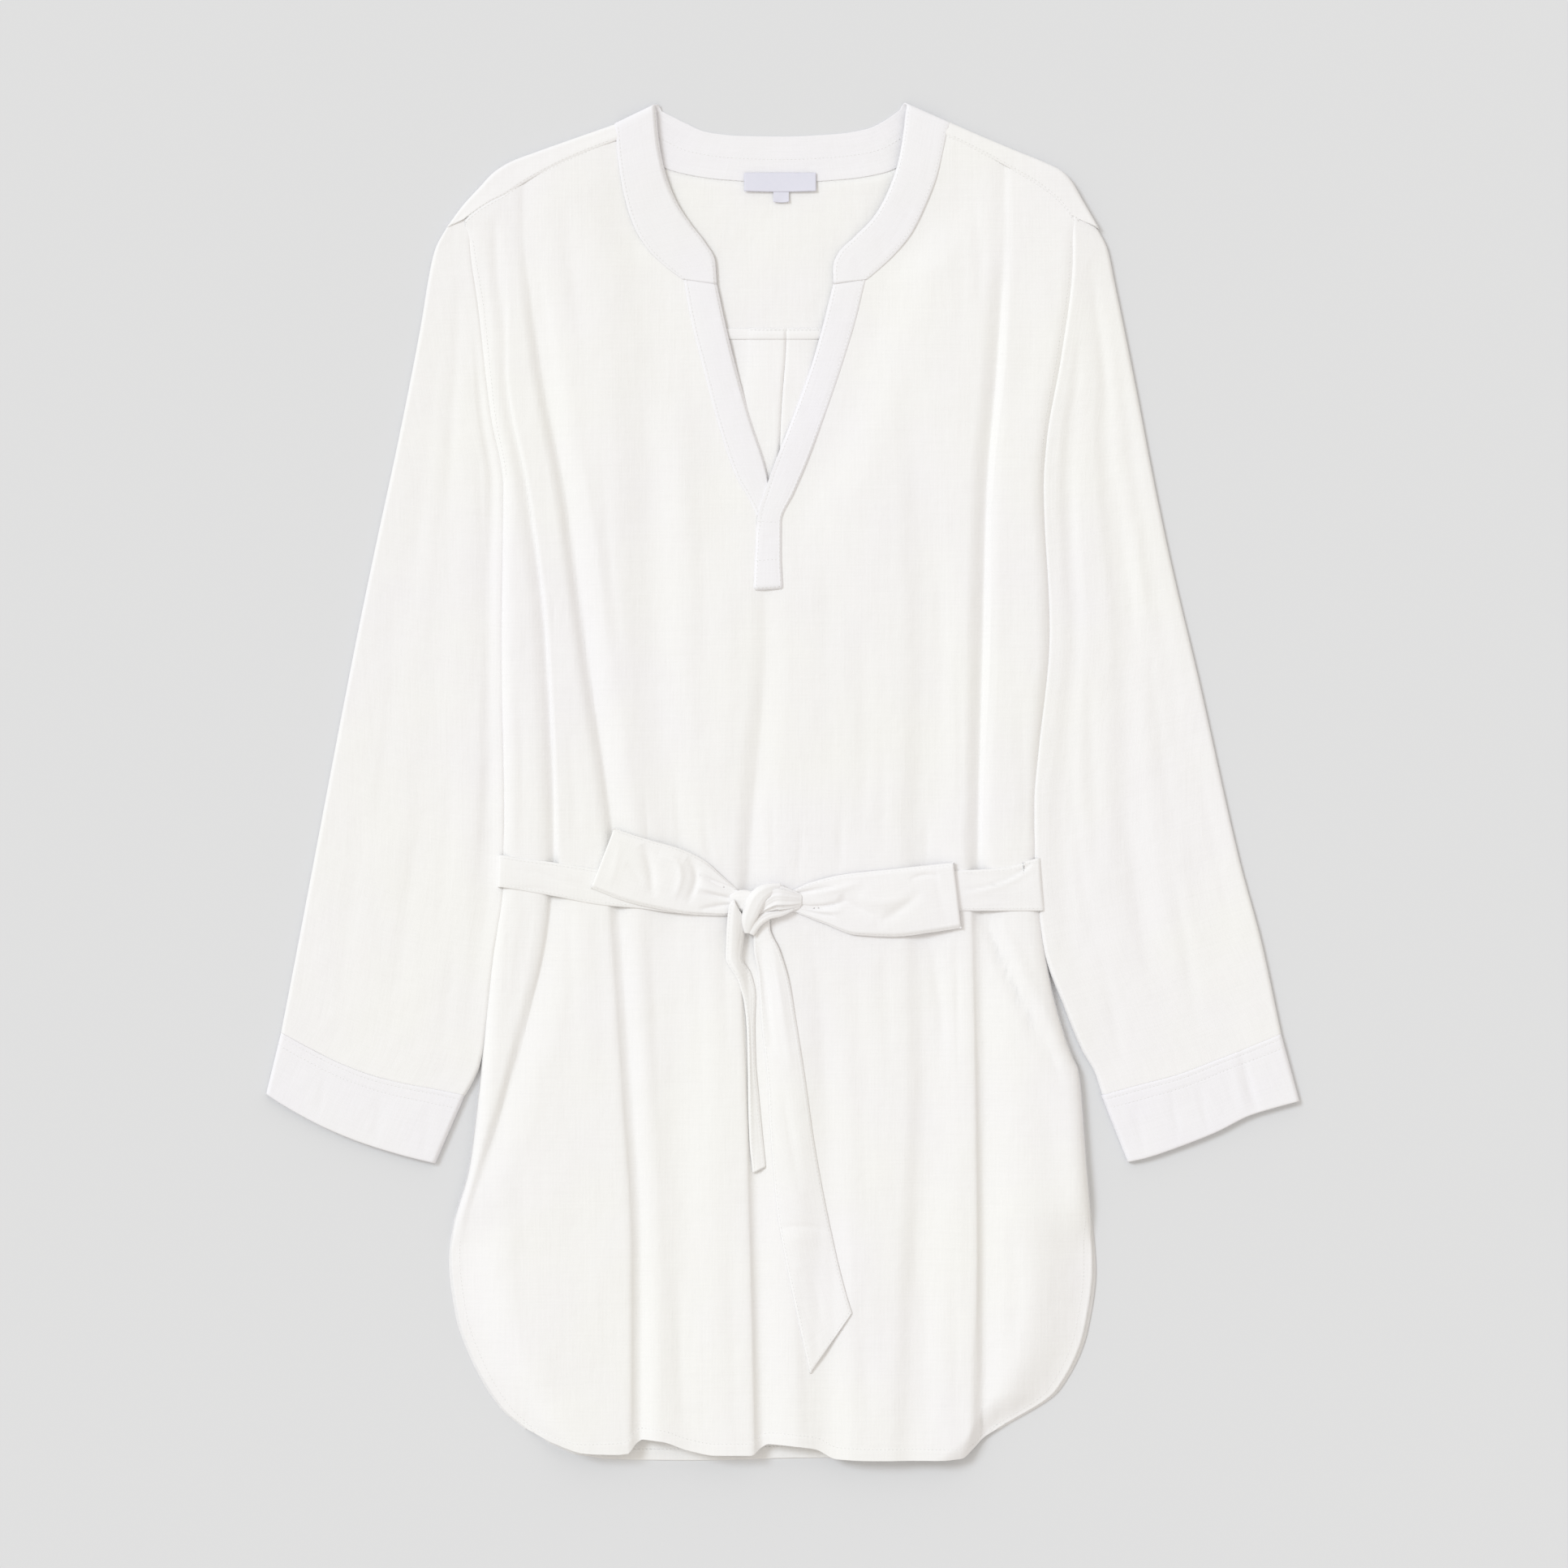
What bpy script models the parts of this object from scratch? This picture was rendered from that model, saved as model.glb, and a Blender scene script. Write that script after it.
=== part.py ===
"""A long-sleeved linen tunic blouse, laid flat and face up, with its tie belt knotted in a bow.

Frame: +X to the right of a person looking down at it, +Y towards the neck, +Z up from the surface
that the back rests on. The origin is the middle of the outline, on that surface.
Sizes and places in the tables are millimetres.
"""

import bmesh
import bpy
import numpy as np

MM = 0.001
WALL = 1.0  # cloth thickness
GAP = 0.3  # clearance at seams and between layers that lie on each other
LINEN = (0.90, 0.89, 0.86, 1.0)
LABEL_SATIN = (0.80, 0.82, 0.88, 1.0)

# Levels of the layers, each the height of the outer face
BACK_LIFT = WALL + GAP  # how far the back rises over the stretch of belt under it
BELT_TOP, BELT_FOOT = -43.0, -93.0  # the waist zone that the belt crosses
BELT_EASE = 14.0  # length over which the back comes down to the surface again
SHOULDER_HEIGHT = 6.0

# The height of the front's ridges at each station down the body
LOFT = {"y": (430, 330, 260, 190, 60, -44, -92, -205, -310, -424),
        "height": (6.0, 6.6, 8.0, 9.5, 9.5, 8.0, 8.0, 10.0, 11.0, 12.0)}

# Side edges of the body, from the shoulder seam down the armhole and side to the shirt-tail hem
LEFT_EDGE = {"y": (366, 355, 306, 240, 192, 86, -20, -70, -115, -206, -253, -293, -310, -349, -380,
                   -411, -424),
             "x": (-208.5, -208, -201, -193, -184.5, -185.5, -184, -184.5, -191, -200, -206, -216.5, -218,
                   -213.5, -202.5, -183.5, -168)}
RIGHT_EDGE = {"y": (366, 358, 335, 277, 221, 192, 96, 17, -15, -48, -89, -129, -175, -190, -237,
                    -317, -359, -398, -424),
              "x": (192.5, 192, 191, 183, 173, 171, 175, 167.5, 165, 165, 168, 174, 186.5, 193, 197,
                    202, 196.5, 178.5, 139)}
NECK_DIP = {"y": (430, 412, 345, 200, 112, 90), "dip": (0, 0, 3, 3, 0, 0)}
DIP_ENDS = (20.0, 56.0)  # full up to here beside the slit, none from here on
SHOULDER_POINT = 366.0  # here the front's edge leaves the sleeve and turns along the yoke's seam

# The front's top edge: how far it stands above the shoulder point
TOP_LEFT = {"x": (-208.5, -204.5, -194, -183, -173, -160, -141, -111, -92),
            "rise": (0, 4, 11.5, 17.5, 24.5, 32, 41.5, 53.5, 57.5)}
TOP_RIGHT = {"x": (88, 107.5, 132, 150, 167, 178, 185, 188.5, 192.5),
             "rise": (60, 56.5, 44.5, 34.5, 24.5, 16, 8.5, 3, 0)}

# The front's neck edge, hidden under the middle of the neck band and plackets, down to the slit's foot
SLIT_FOOT = 177.0
NECK_LEFT = {"y": (424, 396, 376, 360, 346, 336, 298, 266, 229, 200, 177),
             "x": (-96, -91, -86, -77, -66, -56, -49, -40, -29, -20, -12)}
NECK_RIGHT = {"y": (430, 400, 376, 356, 342, 332, 298, 266, 229, 198, 177),
              "x": (92, 87, 79, 68, 56, 44, 35, 26, 12, 1, -12)}

# How far the front's hem hangs below the side curves' end, across the body
HEM = {"x": (-168, -150, -128, -104, -92, -80, -62, -45, -22, -10, 0, 20, 34, 60, 96, 112, 121, 130, 139),
       "drop": (0, 9, 15, 15.5, 6, 7, 13, 16, 16, 9, 9.5, 12, 18.5, 19.5, 19.5, 17, 12, 5.5, 0)}
HEM_LENGTH = 70.0  # the hem's waves die out this far up

# The folds of the front. Each is a groove between two ridges; a lip is how far a ridge hangs over it.
STATIONS = (350, 270, 190, 95, -45, -95, -205, -310, -424)
FOLD_NAMES = ("side_left", "front_left", "soft_left", "centre", "skirt_centre", "soft_right",
              "front_right")
FOLD_LINES = {
    "side_left": (-182, -182, -168, -156, -150, -154, -182, -209, -210),
    "front_left": (-170, -159, -144, -131, -111, -107.5, -100, -94, -94),
    "soft_left": (-101, -90, -86, -85, -76, -75, -69, -67, -61),
    "centre": (-12, -12, -12, -12, -22, -24, -20, -17, -14),
    "skirt_centre": (30, 30, 30, 30, 28, 27, 27, 27, 27),
    "soft_right": (84, 84, 87, 92, 90, 90, 92, 87, 82),
    "front_right": (144, 139, 132.5, 130, 127, 128, 130, 131, 129),
}
FOLD_DEPTHS = {
    "side_left": (0, 1, 3, 4, 4, 4, 5, 0, 0),
    "front_left": (1, 5, 6.5, 7, 4.4, 4.4, 7.5, 8.5, 9),
    "soft_left": (1, 2.5, 3, 3, 2, 2, 3, 2.5, 2),
    "centre": (0, 0, 0, 2, 4.4, 4.4, 7, 8.5, 9.2),
    "skirt_centre": (0, 0, 0, 0, 0, 0, 2, 3, 3.5),
    "soft_right": (0, 0.5, 1, 2, 2.5, 2.5, 3, 3, 2),
    "front_right": (1, 5, 6.5, 7, 4.4, 4.4, 7.5, 8.5, 8),
}
# Wall widths and lips, above the belt and below it: left wall, right wall, left lip, right lip
FOLD_WALLS = {
    "side_left": ((14, 7, 0, 0.3), (12, 20, 0, 0)),
    "front_left": ((14, 16, 0, 0), (14, 14, 0.6, 0)),
    "soft_left": ((26, 26, 0, 0), (26, 26, 0, 0)),
    "centre": ((10, 10, 0, 0), (13, 30, 0.6, 0)),
    "skirt_centre": ((20, 20, 0, 0), (20, 20, 0, 0)),
    "soft_right": ((16, 30, 0, 0), (14, 30, 0, 0)),
    "front_right": ((18, 8, 0, 0.3), (15, 34, 0.55, 0)),
}
FULL_LIP_DEPTH = 7.0  # a groove this deep has its whole lip
# Towards the hem the lips flatten out between these distances below the frame's middle
LIPS_END = {name: (400.0, 440.0) for name in FOLD_NAMES} | {"front_right": (330.0, 385.0)}
LEFT_FOLDS, RIGHT_FOLDS = FOLD_NAMES[:3], FOLD_NAMES[4:]
SIDE_ROLL, HEM_ROLL = 10.0, 18.0  # over this width the front comes down to its side edge

# The back panel
YOKE_SEAM = 292.0
BACK_HEM = {"x": (-166, -150, -125, -100, -60, -30, 0, 60, 110, 135),
            "drop": (0, 11, 19, 20, 20.5, 20, 19, 18, 12, 0)}
PLEAT_HALF, PLEAT_RAISE, PLEAT_END = 22.0, 1.2, 20.0  # centre box pleat, seen inside the neck

# Shoulders: the line where the yoke rolls over, from the armhole to the neck band
SHOULDER_LEFT = ((-221, 361), (-210, 376), (-199, 388), (-190, 397.5), (-179, 404.5), (-162, 411),
                 (-141, 418.5), (-111, 429))
SHOULDER_RIGHT = ((206, 361), (195, 380), (188, 392), (181, 399), (172, 403.5), (150, 412.5),
                  (124, 423.5), (107, 431))
YOKE_SEAM_LEFT = ((-209.5, 367.5), (-204.5, 371.3), (-194, 378.8), (-183, 384.8), (-173, 391.8),
                  (-160, 399.3), (-141, 408.8), (-111, 420.8))
YOKE_SEAM_RIGHT = ((193.5, 367.5), (188.5, 370.3), (185, 375.8), (178, 383.3), (167, 391.8), (150, 401.8),
                   (132, 411.8), (107.5, 423.8))
YOKE_SIDE_LEFT = ((-200, 292.3), (-203.5, 318), (-206.5, 338), (-209, 351), (-219, 357.5))
YOKE_SIDE_RIGHT = ((185.5, 292.3), (188, 310), (190.5, 330), (192.5, 348), (203.5, 357))

# Neck band, from its left front end round the back to its right front end:
# inner edge x and y, outer edge x and y, and where it lies (1 front, 0 back)
NECK_BAND = (
    (-44.0, 325.8, -65.2, 328.9, 1), (-45.0, 340.3, -74.5, 335.0, 1), (-51.0, 351.4, -85.0, 344.5, 1),
    (-61.0, 364.5, -94.0, 357.0, 1), (-70.5, 379.5, -100.7, 373.5, 1), (-78.0, 399.5, -105.0, 392.5, 1),
    (-82.0, 421.0, -107.5, 411.0, 1), (-83.5, 438.0, -108.5, 424.5, 1), (-83.2, 442.8, -109.0, 430.0, 0.5),
    (-80.0, 438.0, -105.5, 421.0, 0), (-65.0, 430.5, -89.0, 407.5, 0), (-51.0, 424.5, -68.0, 399.0, 0),
    (-31.0, 422.0, -39.0, 394.5, 0), (0.0, 421.5, 0.0, 392.7, 0), (33.0, 423.0, 39.0, 394.8, 0),
    (54.0, 426.3, 65.0, 399.0, 0), (66.0, 432.0, 84.0, 408.5, 0), (76.0, 439.0, 100.0, 422.0, 0),
    (79.2, 443.2, 106.3, 430.5, 0.5), (79.5, 438.0, 105.5, 425.5, 1), (77.9, 423.5, 102.8, 412.5, 1),
    (74.7, 405.0, 98.5, 395.0, 1), (68.0, 385.5, 91.0, 376.0, 1), (58.5, 368.5, 81.5, 357.5, 1),
    (46.0, 355.5, 70.0, 343.5, 1), (35.5, 345.0, 60.5, 334.5, 1), (32.0, 335.5, 56.0, 330.5, 1),
    (32.3, 325.8, 53.0, 328.9, 1),
)
BACK_NECK_FIRST, BACK_NECK_LAST = 9, 17  # the rows of the band that lie at the back

# Plackets: inner edge x and y, outer edge x and y
PLACKET_UNDER = ((-44.0, 325.3, -65.2, 328.4), (-38.7, 300.5, -60.0, 299.5), (-31.3, 270.5, -52.0, 268.5),
                 (-21.7, 237.0, -43.0, 234.5), (-9.5, 198.5, -31.0, 199.0), (-7.5, 184.0, -22.5, 184.0),
                 (-8.5, 171.5, -17.0, 172.5))
PLACKET_OVER = ((32.3, 325.3, 53.0, 328.4), (26.5, 302.0, 46.6, 302.0), (18.6, 274.0, 38.2, 274.0),
                (6.4, 239.5, 26.5, 239.5), (-5.8, 208.0, 14.8, 208.0), (-12.7, 188.5, 6.5, 188.5),
                (-17.5, 170.0, -2.0, 169.0), (-18.6, 147.0, -2.1, 147.0), (-19.6, 124.0, -1.1, 125.0))
OVERLAP_TOP, OVERLAP_FOOT = 250.0, 214.0  # between these the over placket climbs onto the under one

# Sleeves. Armhole and inner edge: y, and how far outside the body's edge. The others: x and y.
SLEEVE_LEFT = {
    "shoulder": ((-223, 360.5), (-217.5, 355.5), (-212.3, 350.5)),
    "armhole": ((350.5, 4.6), (338, 1.7), (306, 1.3), (274, 1.3), (240, 1.3), (212, 1.3), (190, 1.3)),
    "outer": ((-223, 360.5), (-229, 348), (-231.5, 334), (-237.5, 298), (-252, 224), (-268, 149.5),
              (-281, 86), (-325.5, -147), (-328.8, -164)),
    "inner": ((190, 1.3), (60, 1.3), (0, 1.4), (-30, 3.4), (-95, 3.4), (-125, 1.8), (-180, 1.5),
              (-205.3, 8.5)),
    "cuff_seam": ((-328.8, -164), (-310.6, -174), (-289.4, -184.5), (-268, -192.5), (-247, -197.7),
                  (-226, -201.5), (-208.5, -205.3)),
    "cuff_hem": ((-338.7, -204.6), (-326.5, -212.5), (-300, -226.8), (-273.5, -237.5), (-247, -245.5),
                 (-228, -250.2)),
}
SLEEVE_RIGHT = {
    "shoulder": ((207.5, 359), (202.5, 354), (196, 348.5)),
    "armhole": ((348.5, 4.3), (336, 1.7), (303, 1.3), (277, 1.3), (250, 1.3), (221, 1.3), (190, 1.3)),
    "outer": ((207.5, 359), (211.5, 348), (216, 327), (222, 298), (230.6, 255), (241.7, 197),
              (252.8, 144), (271.4, 65.7), (297.9, -51.9), (312.2, -105), (325, -165)),
    "inner": ((190, 1.3), (60, 1.3), (0, 1.4), (-30, 3.4), (-95, 3.4), (-115, 2.2), (-134, 2.2),
              (-163, 4), (-185, 7), (-205.3, 13)),
    "cuff_seam": ((325, -165), (304, -173.8), (283, -182), (256.5, -192), (230, -199), (207.3, -205.3)),
    "cuff_hem": ((337.1, -209.4), (320, -214), (304, -219), (283, -229.5), (256.5, -240), (235.3, -247),
                 (224.7, -249.3)),
}
SLEEVE_HEIGHT, CUFF_HEIGHT = 5.4, 4.6
EDGE_RADIUS = 3.0  # of the rounded edge of a flattened tube
# Long soft troughs of each sleeve: place across at the armhole and at the cuff, depth, half width
SLEEVE_TROUGHS = {
    "left": ((0.86, 0.93, 1.4, 0.07), (0.50, 0.62, 0.5, 0.16)),
    "right": ((0.72, 0.90, 1.2, 0.10), (0.36, 0.55, 1.3, 0.13), (0.14, 0.22, 0.6, 0.10)),
}

# Belt stretches across the front, from the knot to the side: x, upper y, lower y
BELT_LEFT = ((-27.2, -75, -86.5), (-48, -70.5, -87.5), (-70, -66.5, -86.5), (-93, -62.5, -83.5),
             (-120, -58, -81), (-152, -53, -75), (-172, -50.5, -71.5), (-184.4, -48.5, -69.5))
BELT_RIGHT = ((2.6, -75, -84.5), (30, -69.5, -85), (60, -64, -85), (90, -60, -85), (115, -58.5, -85),
              (145, -56.5, -85), (158, -53, -85), (166.8, -50.5, -85))
# The belt's way round the side of the body: outwards of the body's edge, height
BELT_TURN = ((-9.0, 9.3), (-4.0, 9.3), (0.6, 8.9), (2.3, 7.2), (2.6, 4.7), (2.3, 2.1), (1.2, 0.4), (-1.5, 0.0),
             (-6.0, 0.0))
BELT_BACK = ((-177.5, -49.5, -70.5), (-140, -53, -79), (-80, -55, -83), (0, -56, -84), (80, -55, -84),
             (157.5, -52, -84.5))
# Bow loops, from the knot to the fold: upper edge x and y, lower edge x and y
LOOP_LEFT = ((-27.9, -73.5, -27.9, -83), (-40, -62.5, -39, -88), (-52, -52, -61, -87.2),
             (-67, -44.5, -83, -83.5), (-88, -38.5, -104, -78.5), (-109.5, -31.5, -124.5, -70.5))
LOOP_RIGHT = ((3.3, -72.5, 3.3, -84), (18, -66, 26, -93), (39, -61, 48, -100.8), (66, -58, 72, -101.8),
              (92, -55.2, 97.5, -98.8), (109, -53.5, 114, -96.3))
LOOP_FLOOR, LOOP_CROWN = 9.6, 13.4  # outer faces of a loop's lower and upper layer
# Tails: left edge x and y, right edge x and y
TAIL_LONG = ((-20.5, -97, -9.5, -96.5), (-20, -108, -3, -110), (-17.2, -126, 3.5, -131), (-15, -158, 8.5, -160),
             (-11, -194, 14, -195), (-9.5, -222, 19, -231), (-7.5, -250, 24.5, -263), (-4.5, -283, 30, -290),
             (0.5, -311, 36, -317), (8, -347, 42, -339), (17, -386.9, 44.5, -346.6))
TAIL_SHORT = ((-33, -77, -29.2, -84), (-38.5, -83, -31.5, -90), (-41, -98, -32, -99), (-38, -115, -29, -115),
              (-30, -131, -21.5, -126), (-26, -146, -18.5, -141), (-24.5, -160, -19, -158),
              (-23.8, -182, -18.5, -182), (-23.5, -206, -16.5, -206), (-22.5, -236, -14, -232),
              (-20.5, -256, -12, -252))
SHORT_TAIL_HEIGHTS = (16.2, 15.9, 14.2, 11.6, 11.6, 11.9, 12.3, 12.6, 12.9, 13.2, 13.6)
SHORT_TAIL_CREST = 2.2  # the short tail is folded along its length, so its middle stands up
KNOT = {"centre": (-12.3, -80.0, 14.6), "half": (15.3, 13.2, 6.2), "squareness": 2.6}

NECK_LABEL = (-26.0, 21.0, 385.6, 397.6)  # x from and to, y from and to
SIZE_TAB = (-7.0, 3.2, 378.6, 385.2)
LABEL_LIFT = 0.9


def smooth(at, places, values):
    """A cubic curve through a table's points that never overshoots them, read at the given places."""
    places, values = np.asarray(places, float), np.asarray(values, float)
    order = np.argsort(places)
    places, values = places[order], values[order]
    step = np.diff(places)
    slope = np.diff(values) / step
    tangent = np.concatenate([slope[:1], np.zeros(len(slope) - 1), slope[-1:]])
    same = slope[:-1] * slope[1:] > 0
    first, second = slope[:-1][same], slope[1:][same]
    tangent[1:-1][same] = 2 * first * second / (first + second)
    at = np.asarray(at, float)
    i = np.clip(np.searchsorted(places, at, side="right") - 1, 0, len(step) - 1)
    t = np.clip((at - places[i]) / step[i], 0, 1)
    rise = values[i + 1] - values[i]
    return (values[i] + rise * t * t * (3 - 2 * t)
            + step[i] * t * (1 - t) * (tangent[i] * (1 - t) - tangent[i + 1] * t))


def table(named, at):
    """Reads the second column of a named table at places along its first."""
    places, values = named.values()
    return smooth(at, places, values)


def trace(points, count):
    """Rows of numbers read evenly along a smooth curve through the table's rows."""
    points = np.asarray(points, float)
    walk = points[:, :2] if points.shape[1] < 4 else (points[:, :2] + points[:, 2:4]) / 2
    along = np.concatenate([[0], np.cumsum(np.linalg.norm(np.diff(walk, axis=0), axis=1))])
    at = np.linspace(0, along[-1], count)
    return np.stack([smooth(at, along, column) for column in points.T], axis=1)


def ease(value, start, end):
    """0 before start, 1 after end, and an S-curve between them."""
    t = np.clip((np.asarray(value, float) - start) / (end - start), 0, 1)
    return t * t * (3 - 2 * t)


def loft(y):
    """Height of the front's ridges at y. Nothing of the front stands higher."""
    return table(LOFT, y)


def neck_dip(y):
    """How far the front sinks at y where it is next to the neck opening."""
    return table(NECK_DIP, y)


def in_belt_zone(y):
    """1 where the belt runs under the back and over the front, easing to 0 beyond."""
    return ease(y, BELT_FOOT - BELT_EASE, BELT_FOOT) * (1 - ease(y, BELT_TOP, BELT_TOP + BELT_EASE))


def fold_values(name, y):
    """Line, depth, wall widths and lips of one fold at y."""
    line = smooth(y, STATIONS, FOLD_LINES[name])
    depth = smooth(y, STATIONS, FOLD_DEPTHS[name])
    above, below = FOLD_WALLS[name]
    upper = ease(y, BELT_FOOT, BELT_TOP)
    left, right, left_lip, right_lip = (low + (high - low) * upper for high, low in zip(above, below))
    shown = ease(depth, 0, FULL_LIP_DEPTH) * (1 - ease(-y, *LIPS_END[name]))
    return line, depth, left, right, left_lip * shown, right_lip * shown


def front_surface(across, y):
    """The front's outer face: a level sheet at the ridges' height, less one groove for each fold.

    A groove's walls are half waves of a cosine. A lip moves the wall's upper half over the groove
    and its lower half back under it. Side edges come down in a quarter circle, hems in an S-curve.
    """
    beside_slit = np.maximum(table(NECK_LEFT, y) - across, across - table(NECK_RIGHT, y)).clip(0)
    height = loft(y) - neck_dip(y) * (1 - ease(beside_slit, *DIP_ENDS))
    shift = np.zeros_like(across)
    for name in FOLD_NAMES:
        line, depth, left, right, left_lip, right_lip = fold_values(name, y)
        away = across - line
        width = np.where(away < 0, left, right)
        lip = np.where(away < 0, left_lip, right_lip)
        turn = np.clip(away / width, -1, 1)
        height = height - depth * 0.5 * (1 + np.cos(np.pi * turn))
        shift = shift + lip * width / 2 * np.sin(2 * np.pi * turn)
    left_edge, right_edge = table(LEFT_EDGE, y), table(RIGHT_EDGE, y)
    inwards = np.minimum(across - left_edge, right_edge - across).clip(0)
    free = ease(-y, 270, 310)  # the hem lies loose, the side seam rolls
    rolled = np.sqrt(1 - (1 - np.clip(inwards / SIDE_ROLL, 0, 1)) ** 2)
    laid = ease(inwards, 0, HEM_ROLL)
    seam = 1 - ease(y, SHOULDER_POINT - 14, SHOULDER_POINT)
    edge = 2 * WALL + GAP + BACK_LIFT * in_belt_zone(y)
    fall = 1 + seam * (rolled * (1 - free) + laid * free - 1)
    height = edge + (height - edge) * fall
    drop = table(HEM, across) * ease(-y, 424 - HEM_LENGTH, 424)
    return np.stack([across + shift, y - drop, height], axis=-1)


def spread(knots, counts):
    """Places between each row's knots, so many in each stretch, with the knots kept in order."""
    knots = np.stack(np.broadcast_arrays(*knots), axis=-1)
    low, high = knots[..., :1], knots[..., -1:]
    rank = np.arange(knots.shape[-1]) / (knots.shape[-1] - 1)
    share = 0.3
    knots = np.maximum.accumulate(np.clip(knots, low, high), axis=-1)
    knots = (1 - share) * knots + share * (low + (high - low) * rank)
    parts = [knots[..., i, None] + (knots[..., i + 1] - knots[..., i])[..., None] * np.arange(n) / n
             for i, n in enumerate(counts)]
    return np.concatenate([*parts, high], axis=-1)


def grid_faces(rows, columns, start=0, wrapped=False):
    """Quads of a grid of points stored row by row; a wrapped grid closes round on itself."""
    i, j = np.meshgrid(np.arange(rows - 1), np.arange(columns - (not wrapped)), indexing="ij")
    k = (j + 1) % columns
    quads = np.stack([i * columns + j, i * columns + k, (i + 1) * columns + k, (i + 1) * columns + j], axis=-1)
    return start + quads.reshape(-1, 4)


def make_material(name, colour, roughness):
    """A Principled finish with the cloth's colour."""
    material = bpy.data.materials.new(name)
    material.use_nodes = True
    shader = material.node_tree.nodes["Principled BSDF"]
    shader.inputs["Base Color"].default_value = colour
    shader.inputs["Roughness"].default_value = roughness
    return material


def add_mesh(name, points, faces, material):
    """A named object from points in millimetres, with coincident points made one."""
    mesh = bpy.data.meshes.new(name)
    mesh.from_pydata((np.asarray(points) * MM).tolist(), [], np.asarray(faces).tolist())
    shape = bmesh.new()
    shape.from_mesh(mesh)
    bmesh.ops.remove_doubles(shape, verts=shape.verts, dist=0.02 * MM)
    shape.to_mesh(mesh)
    shape.free()
    mesh.materials.append(material)
    mesh.shade_smooth()
    piece = bpy.data.objects.new(name, mesh)
    bpy.context.scene.collection.objects.link(piece)
    return piece


def add_cloth(name, grids, material, wall=WALL, wrapped=False):
    """A cloth wall. Each grid of points is the cloth's outer face; the wall grows inwards from it."""
    points, faces, count = [], [], 0
    for grid in grids:
        rows, columns = grid.shape[:2]
        points.append(grid.reshape(-1, 3))
        faces.append(grid_faces(rows, columns, count, wrapped))
        count += rows * columns
    piece = add_mesh(name, np.concatenate(points), np.concatenate(faces), material)
    solid = piece.modifiers.new("cloth", "SOLIDIFY")
    solid.thickness = wall * MM
    solid.offset = -1
    return piece


def station_rows():
    """Stations down the side of the front and back: close together at the shoulder and the hem's curve."""
    above = SHOULDER_POINT + (SLIT_FOOT - SHOULDER_POINT) * np.linspace(0, 1, 10) ** 1.3
    below = np.concatenate([np.linspace(SLIT_FOOT, -29, 7), [-43, -68, -93, -107], np.linspace(-140, -300, 5),
                            -300 - 124 * np.sin(np.linspace(0, np.pi / 2, 6)[1:])])
    return np.concatenate([above, below[1:]])


def half_of_front(names, top, neck, edge, mirrored):
    """Points of the front from its side edge to the slit or the centre fold.

    A row starts level at the side and climbs towards the neck as the shoulder seam does, less and
    less down to the slit's foot. So each column's place and height settle each other in a few turns.
    """
    stations = station_rows()
    climb = 1 - ease(stations, SLIT_FOOT, SHOULDER_POINT + 60) / ease(SHOULDER_POINT, SLIT_FOOT, SHOULDER_POINT + 60)
    climb = 1 - climb
    side = -1 if mirrored else 1
    sharp = {"front_left": (4, 3), "front_right": (5, 3), "centre": (5, 4)}

    def fold_line(name, step):
        def place(y):
            line, _, left, right, *_ = fold_values(name, y)
            return line + (-left, 0, right)[1 + step * side]
        return place

    def inner(y):
        return np.where(y > SLIT_FOOT + 0.5, table(neck, y), smooth(y, STATIONS, FOLD_LINES["centre"]))

    def before_inner(y):
        line, _, left, right, *_ = fold_values("centre", y)
        return np.where(y > SLIT_FOOT + 0.5, inner(y) - side * 14, line - side * (right if mirrored else left))

    places = [lambda y: table(edge, y), lambda y: table(edge, y) + side * SIDE_ROLL * 0.25,
              lambda y: table(edge, y) + side * SIDE_ROLL]
    counts = [2, 2, 1]
    for name in (names[::-1] if mirrored else names):
        places += [fold_line(name, step) for step in (-1, 0, 1)]
        left, right = sharp.get(name, (2, 2))
        counts += [right, left, 1] if mirrored else [left, right, 1]
    places += [before_inner, inner]
    counts += [sharp["centre"][1 if mirrored else 0]]
    knots = []
    for place in places:
        x = place(stations)
        for _ in range(6):
            x = place(stations + climb * table(top, x))
        knots.append(x)
    across = spread([side * knot for knot in knots], counts) * side
    return front_surface(across, stations[:, None] + climb[:, None] * table(top, across))


def build_front(linen):
    """The front in one piece, slit from the neck to the plackets' foot."""
    left = half_of_front(LEFT_FOLDS, TOP_LEFT, NECK_LEFT, LEFT_EDGE, False)
    right = half_of_front(RIGHT_FOLDS, TOP_RIGHT, NECK_RIGHT, RIGHT_EDGE, True)
    add_cloth("front_panel", [left[::-1], right], linen)


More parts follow.
